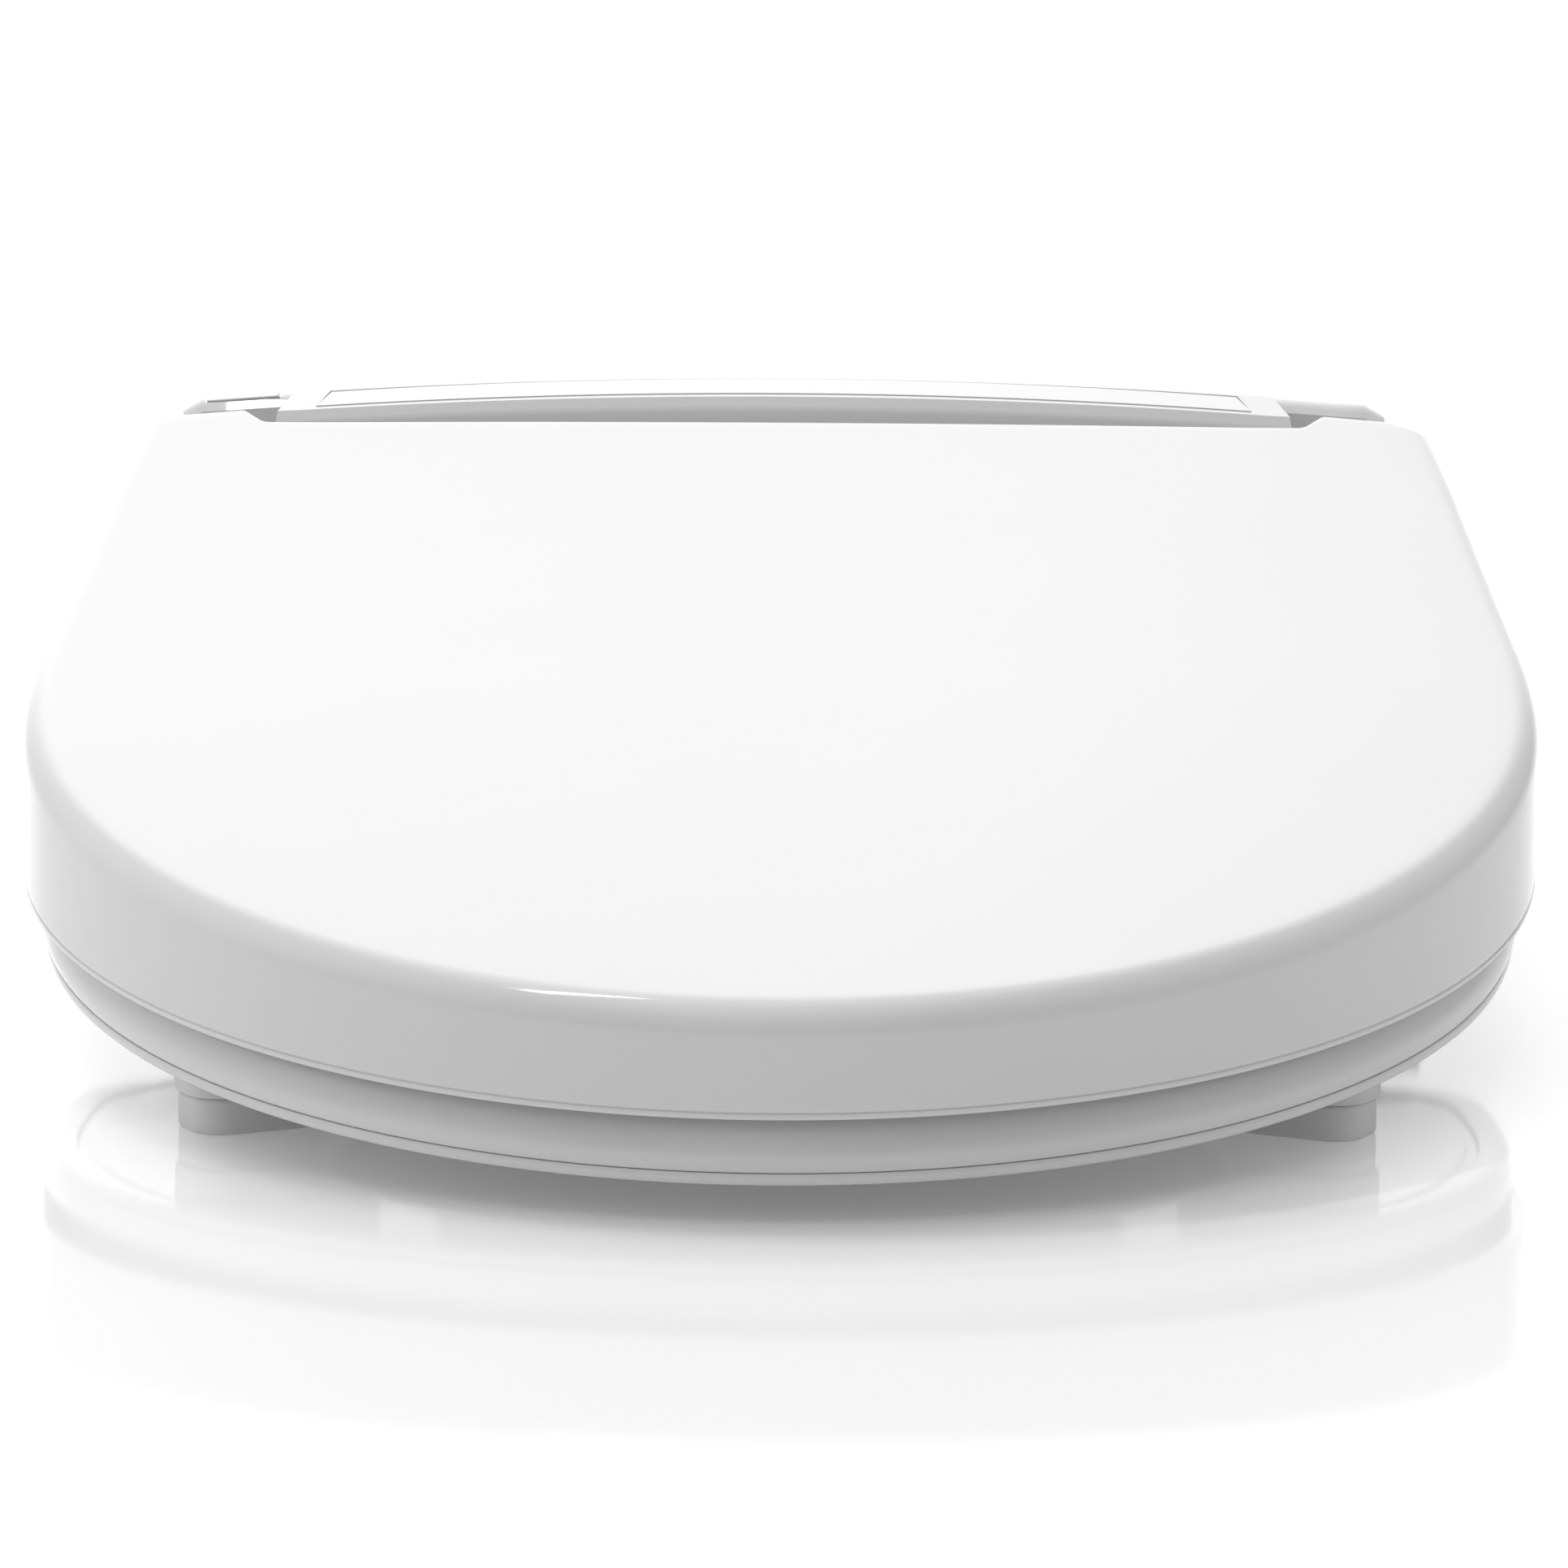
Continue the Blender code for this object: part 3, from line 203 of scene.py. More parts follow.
# Surroundings and camera
SKY_TILT = math.radians(40.0)   # the brightest direction is this high behind the object
SKY_GLOW = ((-0.80, 0.36), (-0.1, 0.82), (0.35, 1.52), (0.85, 1.78))
SKY_SIDES = ((-1.0, 0.72), (-0.5, 0.5), (-0.15, 1.03), (0.0, 1.0), (0.13, 0.82), (0.45, 0.34),
             (1.0, 0.45))
STRIP_PLACE = (-0.41, 0.05, 1.5)    # metres, as are the next two
STRIP_TARGET = (-0.05, -0.25, 0.05)
STRIP_SIZE = (0.52, 0.07)
STRIP_POWER = 3.2
FLOOR_REACH = 9000.0
FLOOR_COLOUR = (0.92, 0.92, 0.92, 1.0)
FLOOR_ROUGHNESS = (0.05, 0.07)
FLOOR_SPECULAR = 0.25
FLOOR_GLOW = 0.10
CAMERA_TARGET = (0.0, 95.0, 45.0)
CAMERA_DISTANCE = 2400.0
CAMERA_RISE = math.radians(9.3)
CAMERA_YAW = math.radians(-0.09)
CAMERA_ROLL = math.radians(0.33)
CAMERA_LENS = 205.8
CAMERA_SENSOR = 36.0
AIM_OFFSET = 0.87               # the view's middle lies this far to the right of the target

# Materials
WHITE = (0.70, 0.70, 0.70)
DRIFT_SCALE = 14.0              # cycles a metre of the slow change of colour
HAZE_SCALE = 60.0               # and of the uneven gloss
GRAIN_DEPTH = 0.0002            # metres
COAT_ROUGHNESS = 0.03


# ---------------------------------------------------------------- mesh helpers

def piece(name, points, faces, body=None):
    """A mesh object from points in millimetres, joined, facing outwards and shaded smooth."""
    mesh = bpy.data.meshes.new(name)
    mesh.from_pydata([[c * MM for c in p] for p in points], [], faces)
    tidy_mesh(mesh)
    obj = bpy.data.objects.new(name, mesh)
    smooth_shade(obj)
    bpy.context.scene.collection.objects.link(obj)
    if body:
        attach(obj, body)
    return obj


def tidy_mesh(mesh):
    """Join points that coincide, drop slivers, and turn all the faces outwards."""
    shape = bmesh.new()
    shape.from_mesh(mesh)
    bmesh.ops.remove_doubles(shape, verts=shape.verts, dist=2e-6)
    bmesh.ops.dissolve_degenerate(shape, edges=shape.edges, dist=1e-6)
    bmesh.ops.recalc_face_normals(shape, faces=shape.faces)
    middle = sum((v.co for v in shape.verts), Vector()) / len(shape.verts)
    outward = sum(f.calc_area() * f.normal.dot(f.calc_center_median() - middle)
                  for f in shape.faces)
    if outward < 0:
        bmesh.ops.reverse_faces(shape, faces=shape.faces)
    shape.to_mesh(mesh)
    shape.free()


def grid_faces(rows, count, closed_loop=True, closed_rows=False):
    """Four-sided faces between rows of points, each row count points long."""
    faces = []
    last = count if closed_loop else count - 1
    for r in range(rows if closed_rows else rows - 1):
        s = (r + 1) % rows
        for i in range(last):
            j = (i + 1) % count
            faces.append((r * count + i, r * count + j, s * count + j, s * count + i))
    return faces


def loft(name, rows, body=None, closed_loop=True, closed_rows=False, caps=False, fold=None):
    """Skin a list of point rows of equal length."""
    count = len(rows[0])
    faces = grid_faces(len(rows), count, closed_loop, closed_rows)
    if caps:
        faces += cap_faces(0, count, fold) + cap_faces((len(rows) - 1) * count, count, fold)
    return piece(name, [p for row in rows for p in row], faces, body)


def cap_faces(first, count, fold):
    """One face over an end row, or two that meet along a fold between two of its points."""
    if fold is None:
        return [tuple(range(first, first + count))]
    low, high = fold
    upper = range(low, high + 1)
    lower = [*range(low + 1), *range(high, count)]
    return [tuple(first + i for i in upper), tuple(first + i for i in lower)]


def arc(radius, start, end, steps):
    """Points on an arc about the origin, in degrees."""
    return [(radius * math.cos(math.radians(start + (end - start) * i / steps)),
             radius * math.sin(math.radians(start + (end - start) * i / steps)))
            for i in range(steps + 1)]


def ease(value, low, high):
    """Smooth step from 0 at low to 1 at high."""
    part = min(max((value - low) / (high - low), 0.0), 1.0)
    return part * part * (3 - 2 * part)


def filleted(points, steps=8):
    """Round the corners of an open polyline of (x, y, radius)."""
    result = [points[0][:2]]
    for before, here, after in zip(points, points[1:], points[2:]):
        centre = Vector(here[:2])
        to_before = (Vector(before[:2]) - centre).normalized()
        to_after = (Vector(after[:2]) - centre).normalized()
        half = to_before.angle(to_after) / 2
        reach = here[2] / math.tan(half)
        middle = centre + (to_before + to_after).normalized() * here[2] / math.sin(half)
        first, last = centre + to_before * reach - middle, centre + to_after * reach - middle
        turn = first.angle_signed(last)
        for i in range(steps + 1):
            spoke = Matrix.Rotation(-turn * i / steps, 2) @ first
            result.append((middle.x + spoke.x, middle.y + spoke.y))
    result.append(points[-1][:2])
    return result


def mirrored(points):
    """Close a right half, which starts and ends on the middle line, into a full loop."""
    return points + [(-x, y) for x, y in reversed(points[1:-1])]


def resampled(points, count):
    """The same open line with points at equal distances."""
    lengths = [0.0]
    for (ax, ay), (bx, by) in zip(points, points[1:]):
        lengths.append(lengths[-1] + math.hypot(bx - ax, by - ay))
    result, k = [], 0
    for i in range(count):
        along = lengths[-1] * i / (count - 1)
        while k < len(points) - 2 and lengths[k + 1] < along:
            k += 1
        t = (along - lengths[k]) / max(lengths[k + 1] - lengths[k], 1e-9)
        result.append((points[k][0] + (points[k + 1][0] - points[k][0]) * t,
                       points[k][1] + (points[k + 1][1] - points[k][1]) * t))
    return result


def inward_normals(loop):
    """Unit normals of a closed loop that runs anticlockwise, pointing into it."""
    result = []
    for i in range(len(loop)):
        (ax, ay), (bx, by) = loop[i - 1], loop[(i + 1) % len(loop)]
        length = math.hypot(bx - ax, by - ay)
        result.append((-(by - ay) / length, (bx - ax) / length))
    return result


def moved_in(loop, normals, distances):
    """Move each point of a loop along its inward normal."""
    return [(x + nx * d, y + ny * d) for (x, y), (nx, ny), d in zip(loop, normals, distances)]


def box_mesh(name, low, high):
    mesh = bpy.data.meshes.new(name)
    shape = bmesh.new()
    bmesh.ops.create_cube(shape, size=1.0)
    size = [(b - a) * MM for a, b in zip(low, high)]
    centre = [(a + b) / 2 * MM for a, b in zip(low, high)]
    bmesh.ops.transform(shape, matrix=Matrix.Translation(centre) @ Matrix.Diagonal((*size, 1.0)),
                        verts=shape.verts)
    shape.to_mesh(mesh)
    shape.free()
    obj = bpy.data.objects.new(name, mesh)
    bpy.context.scene.collection.objects.link(obj)
    return obj


def rounded(obj, width, angle=35.0):
    """Round the edges that turn by more than an angle in degrees."""
    edge = obj.modifiers.new("Edge", 'BEVEL')
    edge.width = width * MM
    edge.segments = 2
    edge.limit_method = 'ANGLE'
    edge.angle_limit = math.radians(angle)
    edge.harden_normals = False


def turned(name, profile, centre, axis, steps=48):
    """Turn (radius, height) points round an axis through a point."""
    turn = Vector((0, 0, 1)).rotation_difference(Vector(axis)).to_matrix()
    rows = []
    for i in range(steps):
        angle = 2 * math.pi * i / steps
        rows.append([Vector(centre) + turn @ Vector((r * math.cos(angle), r * math.sin(angle), h))
                     for r, h in profile])
    return loft(name, rows, closed_loop=False, closed_rows=True)


def cut(obj, tool):
    """Take another object's shape out of this one, and remove the other."""
    change = obj.modifiers.new("Cut", 'BOOLEAN')
    change.operation = 'DIFFERENCE'
    change.solver = 'EXACT'
    change.object = tool
    apply_modifiers(obj)
    bpy.data.objects.remove(tool, do_unlink=True)


def smooth_shade(obj):
    obj.data.shade_smooth()
    obj.data.set_sharp_from_angle(angle=SHARP_ANGLE)


def apply_modifiers(obj):
    bpy.context.view_layer.update()
    graph = bpy.context.evaluated_depsgraph_get()
    mesh = bpy.data.meshes.new_from_object(obj.evaluated_get(graph))
    obj.modifiers.clear()
    obj.data = mesh


def thicken(obj, thickness):
    """Give a surface a wall on its inner side."""
    shell = obj.modifiers.new("Wall", 'SOLIDIFY')
    shell.thickness = thickness * MM
    shell.offset = -1.0
    shell.use_even_offset = True
    apply_modifiers(obj)


# ---------------------------------------------------------------- materials

def shader_nodes(name):
    """A new material with its node tree's parts."""
    material = bpy.data.materials.new(name)
    material.use_nodes = True
    nodes, links = material.node_tree.nodes, material.node_tree.links
    return material, nodes, links, nodes["Principled BSDF"]


def noise(nodes, links, scale, detail, stretch=(1.0, 1.0, 1.0)):
    """Noise in the object's own space, in cycles a metre."""
    place = nodes.new("ShaderNodeTexCoord")
    mapping = nodes.new("ShaderNodeMapping")
    mapping.inputs["Scale"].default_value = stretch
    texture = nodes.new("ShaderNodeTexNoise")
    texture.inputs["Scale"].default_value = scale
    texture.inputs["Detail"].default_value = detail
    links.new(place.outputs["Object"], mapping.inputs["Vector"])
    links.new(mapping.outputs["Vector"], texture.inputs["Vector"])
    return texture.outputs["Fac"]


def spread(nodes, links, value, low, high):
    """Stretch the middle of a noise's range over the values between low and high."""
    change = nodes.new("ShaderNodeMapRange")
    change.inputs["From Min"].default_value = 0.3
    change.inputs["From Max"].default_value = 0.7
    change.inputs["To Min"].default_value = low
    change.inputs["To Max"].default_value = high
    links.new(value, change.inputs["Value"])
    return change.outputs["Result"]


def tinted(nodes, links, value, first, second):
    """Blend two colours by a noise."""
    ramp = nodes.new("ShaderNodeValToRGB")
    ramp.color_ramp.elements[0].position = 0.35
    ramp.color_ramp.elements[0].color = (*first, 1.0)
    ramp.color_ramp.elements[1].position = 0.65
    ramp.color_ramp.elements[1].color = (*second, 1.0)
    links.new(value, ramp.inputs["Fac"])
    return ramp.outputs["Color"]


def bumped(nodes, links, shader, height, strength):
    bump = nodes.new("ShaderNodeBump")
    bump.inputs["Strength"].default_value = strength
    bump.inputs["Distance"].default_value = GRAIN_DEPTH
    links.new(height, bump.inputs["Height"])
    links.new(bump.outputs["Normal"], shader.inputs["Normal"])


def plastic(name, colour, shade, rough, grain, coat=0.0, metallic=0.0, stretch=(1.0, 1.0, 1.0)):
    """Moulded plastic or metal: slow colour drift, uneven gloss and a fine surface grain.

    The colour is darkened at most by a factor, shade; rough is a range; grain is its scale and
    strength.
    """
    material, nodes, links, shader = shader_nodes(name)
    drift = noise(nodes, links, DRIFT_SCALE, 2.0)
    darker = [c * shade for c in colour]
    links.new(tinted(nodes, links, drift, darker, colour), shader.inputs["Base Color"])
    haze = noise(nodes, links, HAZE_SCALE, 4.0, stretch)
    links.new(spread(nodes, links, haze, *rough), shader.inputs["Roughness"])
    bumped(nodes, links, shader, noise(nodes, links, grain[0], 2.0, stretch), grain[1])
    shader.inputs["Metallic"].default_value = metallic
    shader.inputs["Coat Weight"].default_value = coat
    shader.inputs["Coat Roughness"].default_value = COAT_ROUGHNESS
    return material


MATERIALS = {
    "gloss_white": plastic("gloss_white", WHITE, 0.992, (0.06, 0.10), (320.0, 0.008)),
    "satin_white": plastic("satin_white", (0.74, 0.74, 0.74), 0.985, (0.34, 0.46), (1400.0, 0.06)),
    "white_rubber": plastic("white_rubber", (0.78, 0.78, 0.775), 0.97, (0.55, 0.70),
                            (1800.0, 0.12)),
    "pale_grey_plastic": plastic("pale_grey_plastic", (0.56, 0.56, 0.56), 0.96, (0.30, 0.42),
                                 (1500.0, 0.08)),
    "dark_plastic": plastic("dark_plastic", (0.045, 0.046, 0.05), 0.8, (0.38, 0.52),
                            (1600.0, 0.12)),
    "dark_rubber": plastic("dark_rubber", (0.03, 0.03, 0.031), 0.75, (0.62, 0.8),
                           (2000.0, 0.2)),
    "steel": plastic("steel", (0.60, 0.59, 0.575), 0.93, (0.22, 0.34), (900.0, 0.05), 0.0, 1.0,
                     (1.0, 12.0, 12.0)),
    "heating_foil": plastic("heating_foil", (0.72, 0.36, 0.2), 0.9, (0.3, 0.42), (700.0, 0.1),
                            0.0, 0.9),
    "circuit_board": plastic("circuit_board", (0.02, 0.16, 0.06), 0.8, (0.3, 0.45),
                             (600.0, 0.1), 0.3),
    "hose": plastic("hose", (0.66, 0.67, 0.67), 0.95, (0.28, 0.4), (700.0, 0.05)),
}


def finish(obj, slot):
    """Paint a piece with one of the record's material slots."""
    obj.data.materials.clear()
    obj.data.materials.append(MATERIALS[slot])
    return obj


def paint_cad_nodes():
    """Give every CAD node the material of its slot."""
    slots = {row["node"]: row["material_slot"] for row in frame["record"]["subparts"]}
    for name, obj in frame["nodes"].items():
        obj.data.materials.clear()
        obj.data.materials.append(MATERIALS[slots[name]])
        for polygon in obj.data.polygons:
            polygon.material_index = 0


# ---------------------------------------------------------------- shared outlines

def side_half_width(y):
    """Half width of the lid's outline behind its widest line."""
    radius = TAPER_ARC / math.sin(TAPER)
    back = y - Y_WIDE
    if back < TAPER_ARC:
        return HALF_WIDTH - (radius - math.sqrt(radius * radius - back * back))
    return HALF_WIDTH - radius * (1 - math.cos(TAPER)) - (back - TAPER_ARC) * math.tan(TAPER)


def front_half(inset, steps):
    """Front half of the outline, from the tip to the side."""
    points = []
    for i in range(steps + 1):
        angle = math.pi / 2 * i / steps
        reach = (FRONT_REACH - inset) * max(math.cos(angle), 0.0) ** (2 / FRONT_POWER)
        points.append(((HALF_WIDTH - inset) * math.sin(angle), Y_WIDE - reach))
    return points


def deck_height(x, y):
    """Height of the deck's sloping, crowned top; the ears' tips lie a little lower."""
    tip_fall = WING_TIP_FALL if abs(x) >= WING_HALF else 0.0
    return DECK_Z + DECK_SLOPE * (y - DECK_FRONT) - DECK_CROWN * x * x - tip_fall


# ---------------------------------------------------------------- lid

def lid_outline():
    """The lid seen from above: round front, tapering sides, arms, and a notch for the deck."""
    sides = [(side_half_width(y), y) for y in range(LID_SIDE_START, LID_SIDE_END, LID_SIDE_STEP)]
    rear = filleted([(side_half_width(LID_SIDE_END), LID_SIDE_END, 0.0),
                     (side_half_width(LID_ARM_REAR), LID_ARM_REAR, LID_REAR_CORNER),
                     (LID_ARM_INNER, LID_ARM_REAR, LID_ARM_ROUND),
                     (LID_NOTCH_HALF, LID_NOTCH_REAR, LID_NOTCH_ROUND),
                     (0.0, LID_NOTCH_REAR, 0.0)], 10)
    middle = rear.pop()
    corner_x = rear[-1][0]
    rear += [(corner_x * (1 - i / 10), LID_NOTCH_REAR) for i in range(1, 10)] + [middle]
    return mirrored(front_half(0.0, 84) + sides + rear)


def lid_top(x, y):
    """Height of the lid's top: it slopes up to the rear, crowned, and curves up at the end."""
    across = min(abs(x) / HALF_WIDTH, 1.0)
    back = max(y - Y_WIDE, 0.0) / (LID_NOTCH_REAR - Y_WIDE)
    return (LID_TOP_WIDE + LID_TOP_SLOPE * (y - Y_WIDE) - LID_CROWN * across ** 2
            + LID_REAR_RISE * back ** 2)


def lid_hem(x, y):
    """Height of the lid's lower edge: it climbs towards the hinge, and is a lip at the deck."""
    low = LID_HEM_WIDE + LID_HEM_SLOPE * (y - Y_WIDE)
    low += (LID_HEM_REAR - low) * ease(y, LID_HEM_RISE_START, LID_HEM_RISE_END)
    lip = lid_top(x, y) - LID_LIP
    beside_deck = ease(y, *LID_LIP_FROM) * (1 - ease(abs(x), *LID_LIP_ENDS))
    return low + (lip - low) * beside_deck


def lid_edge_radius(x, y):
    """Radius of the rounded top edge at a point of the outline."""
    soft = FRONT_EDGE + (CORNER_EDGE - FRONT_EDGE) * ease(y, *CORNER_EDGE_FROM)
    tight = ease(y, *NOTCH_EDGE_FROM) * (1 - ease(abs(x), *NOTCH_EDGE_ENDS))
    crisp = NOTCH_EDGE + (ARM_EDGE - NOTCH_EDGE) * ease(abs(x), *ARM_EDGE_FROM)
    return soft + (crisp - soft) * tight


def lid_top_rows(loop, normals, insets, drop, scales):
    """Rows over the top, or at a drop below it: its outline drawn in towards the middle."""
    plan = moved_in(loop, normals, insets)
    rows = []
    for scale in scales:
        row = []
        for x, y in plan:
            px, py = x * scale, LID_CENTRE_Y + (y - LID_CENTRE_Y) * scale
            row.append((px, py, lid_top(px, py) - drop))
        rows.append(row)
    return rows


def lid_edge_rows(loop, normals, radii, depth, angles):
    """Rows round the top edge, on a face at a depth below the outer one."""
    rows = []
    for degrees in angles:
        c, s = math.cos(math.radians(degrees)), math.sin(math.radians(degrees))
        plan = moved_in(loop, normals, [depth + r * (1 - c) for r in radii])
        rows.append([(x, y, lid_top(x, y) - depth - r * (1 - s))
                     for (x, y), r in zip(plan, radii)])
    return rows


def lid_wall_row(loop, normals, inset, heights):
    plan = moved_in(loop, normals, [inset] * len(loop))
    return [(x, y, z) for (x, y), z in zip(plan, heights)]


def lid_moulding():
    loop = lid_outline()
    normals = inward_normals(loop)
    radii = [lid_edge_radius(x, y) for x, y in loop]
    inner_radii = [max(r - LID_WALL, MIN_INNER_EDGE) for r in radii]
    hems = [lid_hem(x, y) for x, y in loop]
    shoulders = [lid_top(x, y) - r for (x, y), r in zip(loop, radii)]

    # From the middle of the inner face, down the inner wall, round the rim and up the outer wall
    rows = lid_top_rows(loop, normals, [LID_WALL + r for r in inner_radii], LID_WALL,
                        LID_INNER_SCALES)
    rows += lid_edge_rows(loop, normals, inner_radii, LID_WALL, (90, 67.5, 45, 22.5, 0))
    rows += [lid_wall_row(loop, normals, inset, [h + rise for h in hems])
             for inset, rise in LID_RIM]
    for share in LID_WALL_SHARES:
        heights = [h + LID_RIM_TOP + (s - h - LID_RIM_TOP) * share
                   for h, s in zip(hems, shoulders)]
        rows.append(lid_wall_row(loop, normals, 0.0, heights))
    rows += lid_edge_rows(loop, normals, radii, 0.0, range(0, 91, 9))
    rows += lid_top_rows(loop, normals, radii, 0.0, LID_OUTER_SCALES)
    lid = loft("lid_moulding", rows, "lid")
    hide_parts("lid_shell")
    return finish(lid, "gloss_white")


# ---------------------------------------------------------------- seat ring

def ring_base(y):
    """Height of the ring's underside."""
    return RING_BASE_WIDE + RING_BASE_SLOPE * (y - Y_WIDE)


def ring_outline():
    power = 2 / RING_REAR_POWER
    half_width = HALF_WIDTH - RING_INSET
    rear = []
    for i in range(1, 97):
        angle = math.pi / 2 * (i / 96) ** 1.2
        rear.append((half_width * max(math.cos(angle), 0.0) ** power,
                     Y_WIDE + RING_REAR_REACH * math.sin(angle) ** power))
    return mirrored(resampled(front_half(RING_INSET, 96) + rear, RING_STEPS // 2 + 1))


def bowl_outline():
    half = [(BOWL_HALF_WIDTH * math.sin(math.pi * i / 200),
             BOWL_CENTRE_Y - BOWL_HALF_LENGTH * math.cos(math.pi * i / 200))
            for i in range(201)]
    return mirrored(resampled(half, RING_STEPS // 2 + 1))


RING_OUTER = ring_outline()
RING_BOWL = bowl_outline()
RING_OUTER_IN = inward_normals(RING_OUTER)
RING_BOWL_IN = inward_normals(RING_BOWL)


def ring_row(across, depth, height):
    """A loop at a share of the way to the opening, moved into the material by a depth."""
    outer = moved_in(RING_OUTER, RING_OUTER_IN, [depth] * RING_STEPS)
    inner = moved_in(RING_BOWL, RING_BOWL_IN, [-depth] * RING_STEPS)
    row = []
    for (ox, oy), (ix, iy) in zip(outer, inner):
        x, y = ox + (ix - ox) * across, oy + (iy - oy) * across
        row.append((x, y, ring_base(y) + height))
    return row


def smooth_section(points, steps):
    """Catmull-Rom curve through (across, depth, height) points."""
    ends = [points[0]] + list(points) + [points[-1]]
    result = []
    for a, b, c, d in zip(ends, ends[1:], ends[2:], ends[3:]):
        for k in range(steps):
            t = k / steps
            result.append(tuple(
                0.5 * (2 * q + (r - p) * t + (2 * p - 5 * q + 4 * r - s) * t * t
                       + (3 * q - p - 3 * r + s) * t ** 3)
                for p, q, r, s in zip(a, b, c, d)))
    result.append(points[-1])
    return result


def ring_top_moulding():
    section = (RING_FACE + smooth_section(RING_CROWN, RING_CROWN_STEPS) + RING_BOWL_WALL
               + RING_INSIDE)
    ring = loft("ring_top_moulding", [ring_row(*p) for p in section], closed_rows=True)
    for side in (-1, 1):
        across = sorted(side * x for x in BRACKET_NOTCH_X)
        low, high = zip(across, BRACKET_NOTCH_Y, BRACKET_NOTCH_Z)
        cut(ring, box_mesh("bracket_notch", low, high))
    smooth_shade(ring)
    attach(ring, "seat_ring")
    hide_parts("ring_upper_shell")
    return finish(ring, "gloss_white")


def ring_underside_moulding():
    ring = loft("ring_underside_moulding", [ring_row(*p) for p in RING_UNDERSIDE], "seat_ring",
                closed_rows=True)
    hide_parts("ring_lower_shell")
    return finish(ring, "gloss_white")


def bumper_loop(side, grow):
    """A bumper's rounded outline seen from above, grown on all sides."""
    width, length = BUMPER_SIZE
    half_w, half_l, corner = width / 2 + grow, length / 2 + grow, BUMPER_CORNER + grow
    loop = []
    for quarter, (sx, sy) in enumerate(((1, 1), (-1, 1), (-1, -1), (1, -1))):
        for x, y in arc(corner, 90.0 * quarter, 90.0 * quarter + 90.0, 8):
            px, py = sx * (half_w - corner) + x, sy * (half_l - corner) + y
            wx = BUMPER_CENTRE[0] + px * math.cos(BUMPER_TURN) + py * math.sin(BUMPER_TURN)
            wy = BUMPER_CENTRE[1] - px * math.sin(BUMPER_TURN) + py * math.cos(BUMPER_TURN)
            loop.append((side * wx, wy))
    return loop


def front_bumper(side, label):
    """A soft pad on the floor, and over it the mount that reaches up to the sloping ring."""
    split = BUMPER_PAD_HEIGHT
    levels = [(-3.5, 0.0), (-1.2, 0.0), (-0.5, 0.15), (-0.1, 0.6), (0.0, 1.3), (0.0, split - 1.2),
              (-0.15, split - 0.7), (-0.6, split - GAP), (-4.0, split - GAP)]
    pad = loft("bumper_pad_" + label + "_moulding",
               [[(x, y, z) for x, y in bumper_loop(side, grow)] for grow, z in levels],
               "seat_ring", caps=True)
    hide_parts("bumper_pad_" + label)
    finish(pad, "white_rubber")
    rows = [[(x, y, z) for x, y in bumper_loop(side, grow)]
            for grow, z in ((-4.0, split), (0.3, split), (0.8, split + 0.2), (1.0, split + 0.8))]
    rows += [[(x, y, ring_base(y) - GAP - rise) for x, y in bumper_loop(side, grow)]
             for grow, rise in ((1.0, 1.0), (1.0, 0.0), (-3.0, 0.0))]
    mount = loft("bumper_mount_" + label + "_moulding", rows, "seat_ring", caps=True)
    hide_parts("bumper_mount_" + label)
    return finish(mount, "satin_white")


# ---------------------------------------------------------------- main unit

def deck_end_shift(y, z):
    """The deck's end walls close in from its front edge towards the ears."""
    if z <= BODY_TOP:
        return 0.0
    back = min(max((y - DECK_FRONT) / (WING_FRONT - DECK_FRONT), 0.0), 1.0)
    return DECK_END_FRONT + (DECK_END_REAR - DECK_END_FRONT) * back


def cover_profile(x, wing):
    """Section of the cover from its front foot, over the top and down the rear wall."""
    front, foot, body_top, sunk = DECK_FRONT, UNIT_FRONT, BODY_TOP, 0.0
    if wing:
        front, foot, body_top, sunk = WING_FRONT, POD_FRONT, POD_TOP, WING_SINK
    edge = deck_height(x, front) - sunk
    profile = [(foot, SPLIT_Z)]
    profile += [(foot + BODY_EDGE - y, body_top - BODY_EDGE + z)
                for y, z in arc(BODY_EDGE, 0.0, 90.0, 6)]
    profile.append((front, body_top))
    width, drop = (DECK_EDGE, DECK_EDGE) if wing else DECK_CHAMFER
    profile += [(front + width * share, edge - drop * (1 - share)) for share in CHAMFER_SHARES]
    round_y = Y_REAR - DECK_ROUND
    profile += [(y, deck_height(x, y) - sunk) for y in DECK_BACK_FLAT]
    round_z = deck_height(x, round_y) - DECK_ROUND
    profile += [(round_y + y, round_z + z) for y, z in arc(DECK_ROUND - sunk, 90.0, 0.0, 10)]
    profile += [(Y_REAR - sunk, POD_TOP), (Y_REAR - sunk, SPLIT_Z)]
    side = math.copysign(1.0, x)
    return [(x + side * end_wall_shift(x, y, z), y, z) for y, z in profile]


def end_wall_shift(x, y, z):
    """How far an end wall of the deck or of an ear stands out from its station."""
    if abs(x) == UNIT_HALF:
        return deck_end_shift(y, z)
    lean = {WING_HALF: EAR_LEAN, WING_HALF - WING_TIP: TIP_LEAN}.get(abs(x), 0.0)
    return lean * max(z - POD_TOP, 0.0)


def cover_stations():
    """Where the cover's sections lie across it, and which of them belong to a wing."""
    middle = [(UNIT_HALF * i / DECK_STATIONS, False)
              for i in range(-DECK_STATIONS, DECK_STATIONS + 1)]
    wing = [(x, True) for x in (UNIT_HALF, *WING_STATIONS, WING_HALF - WING_TIP, WING_HALF)]
    return [(-x, True) for x, _ in reversed(wing)] + middle + wing


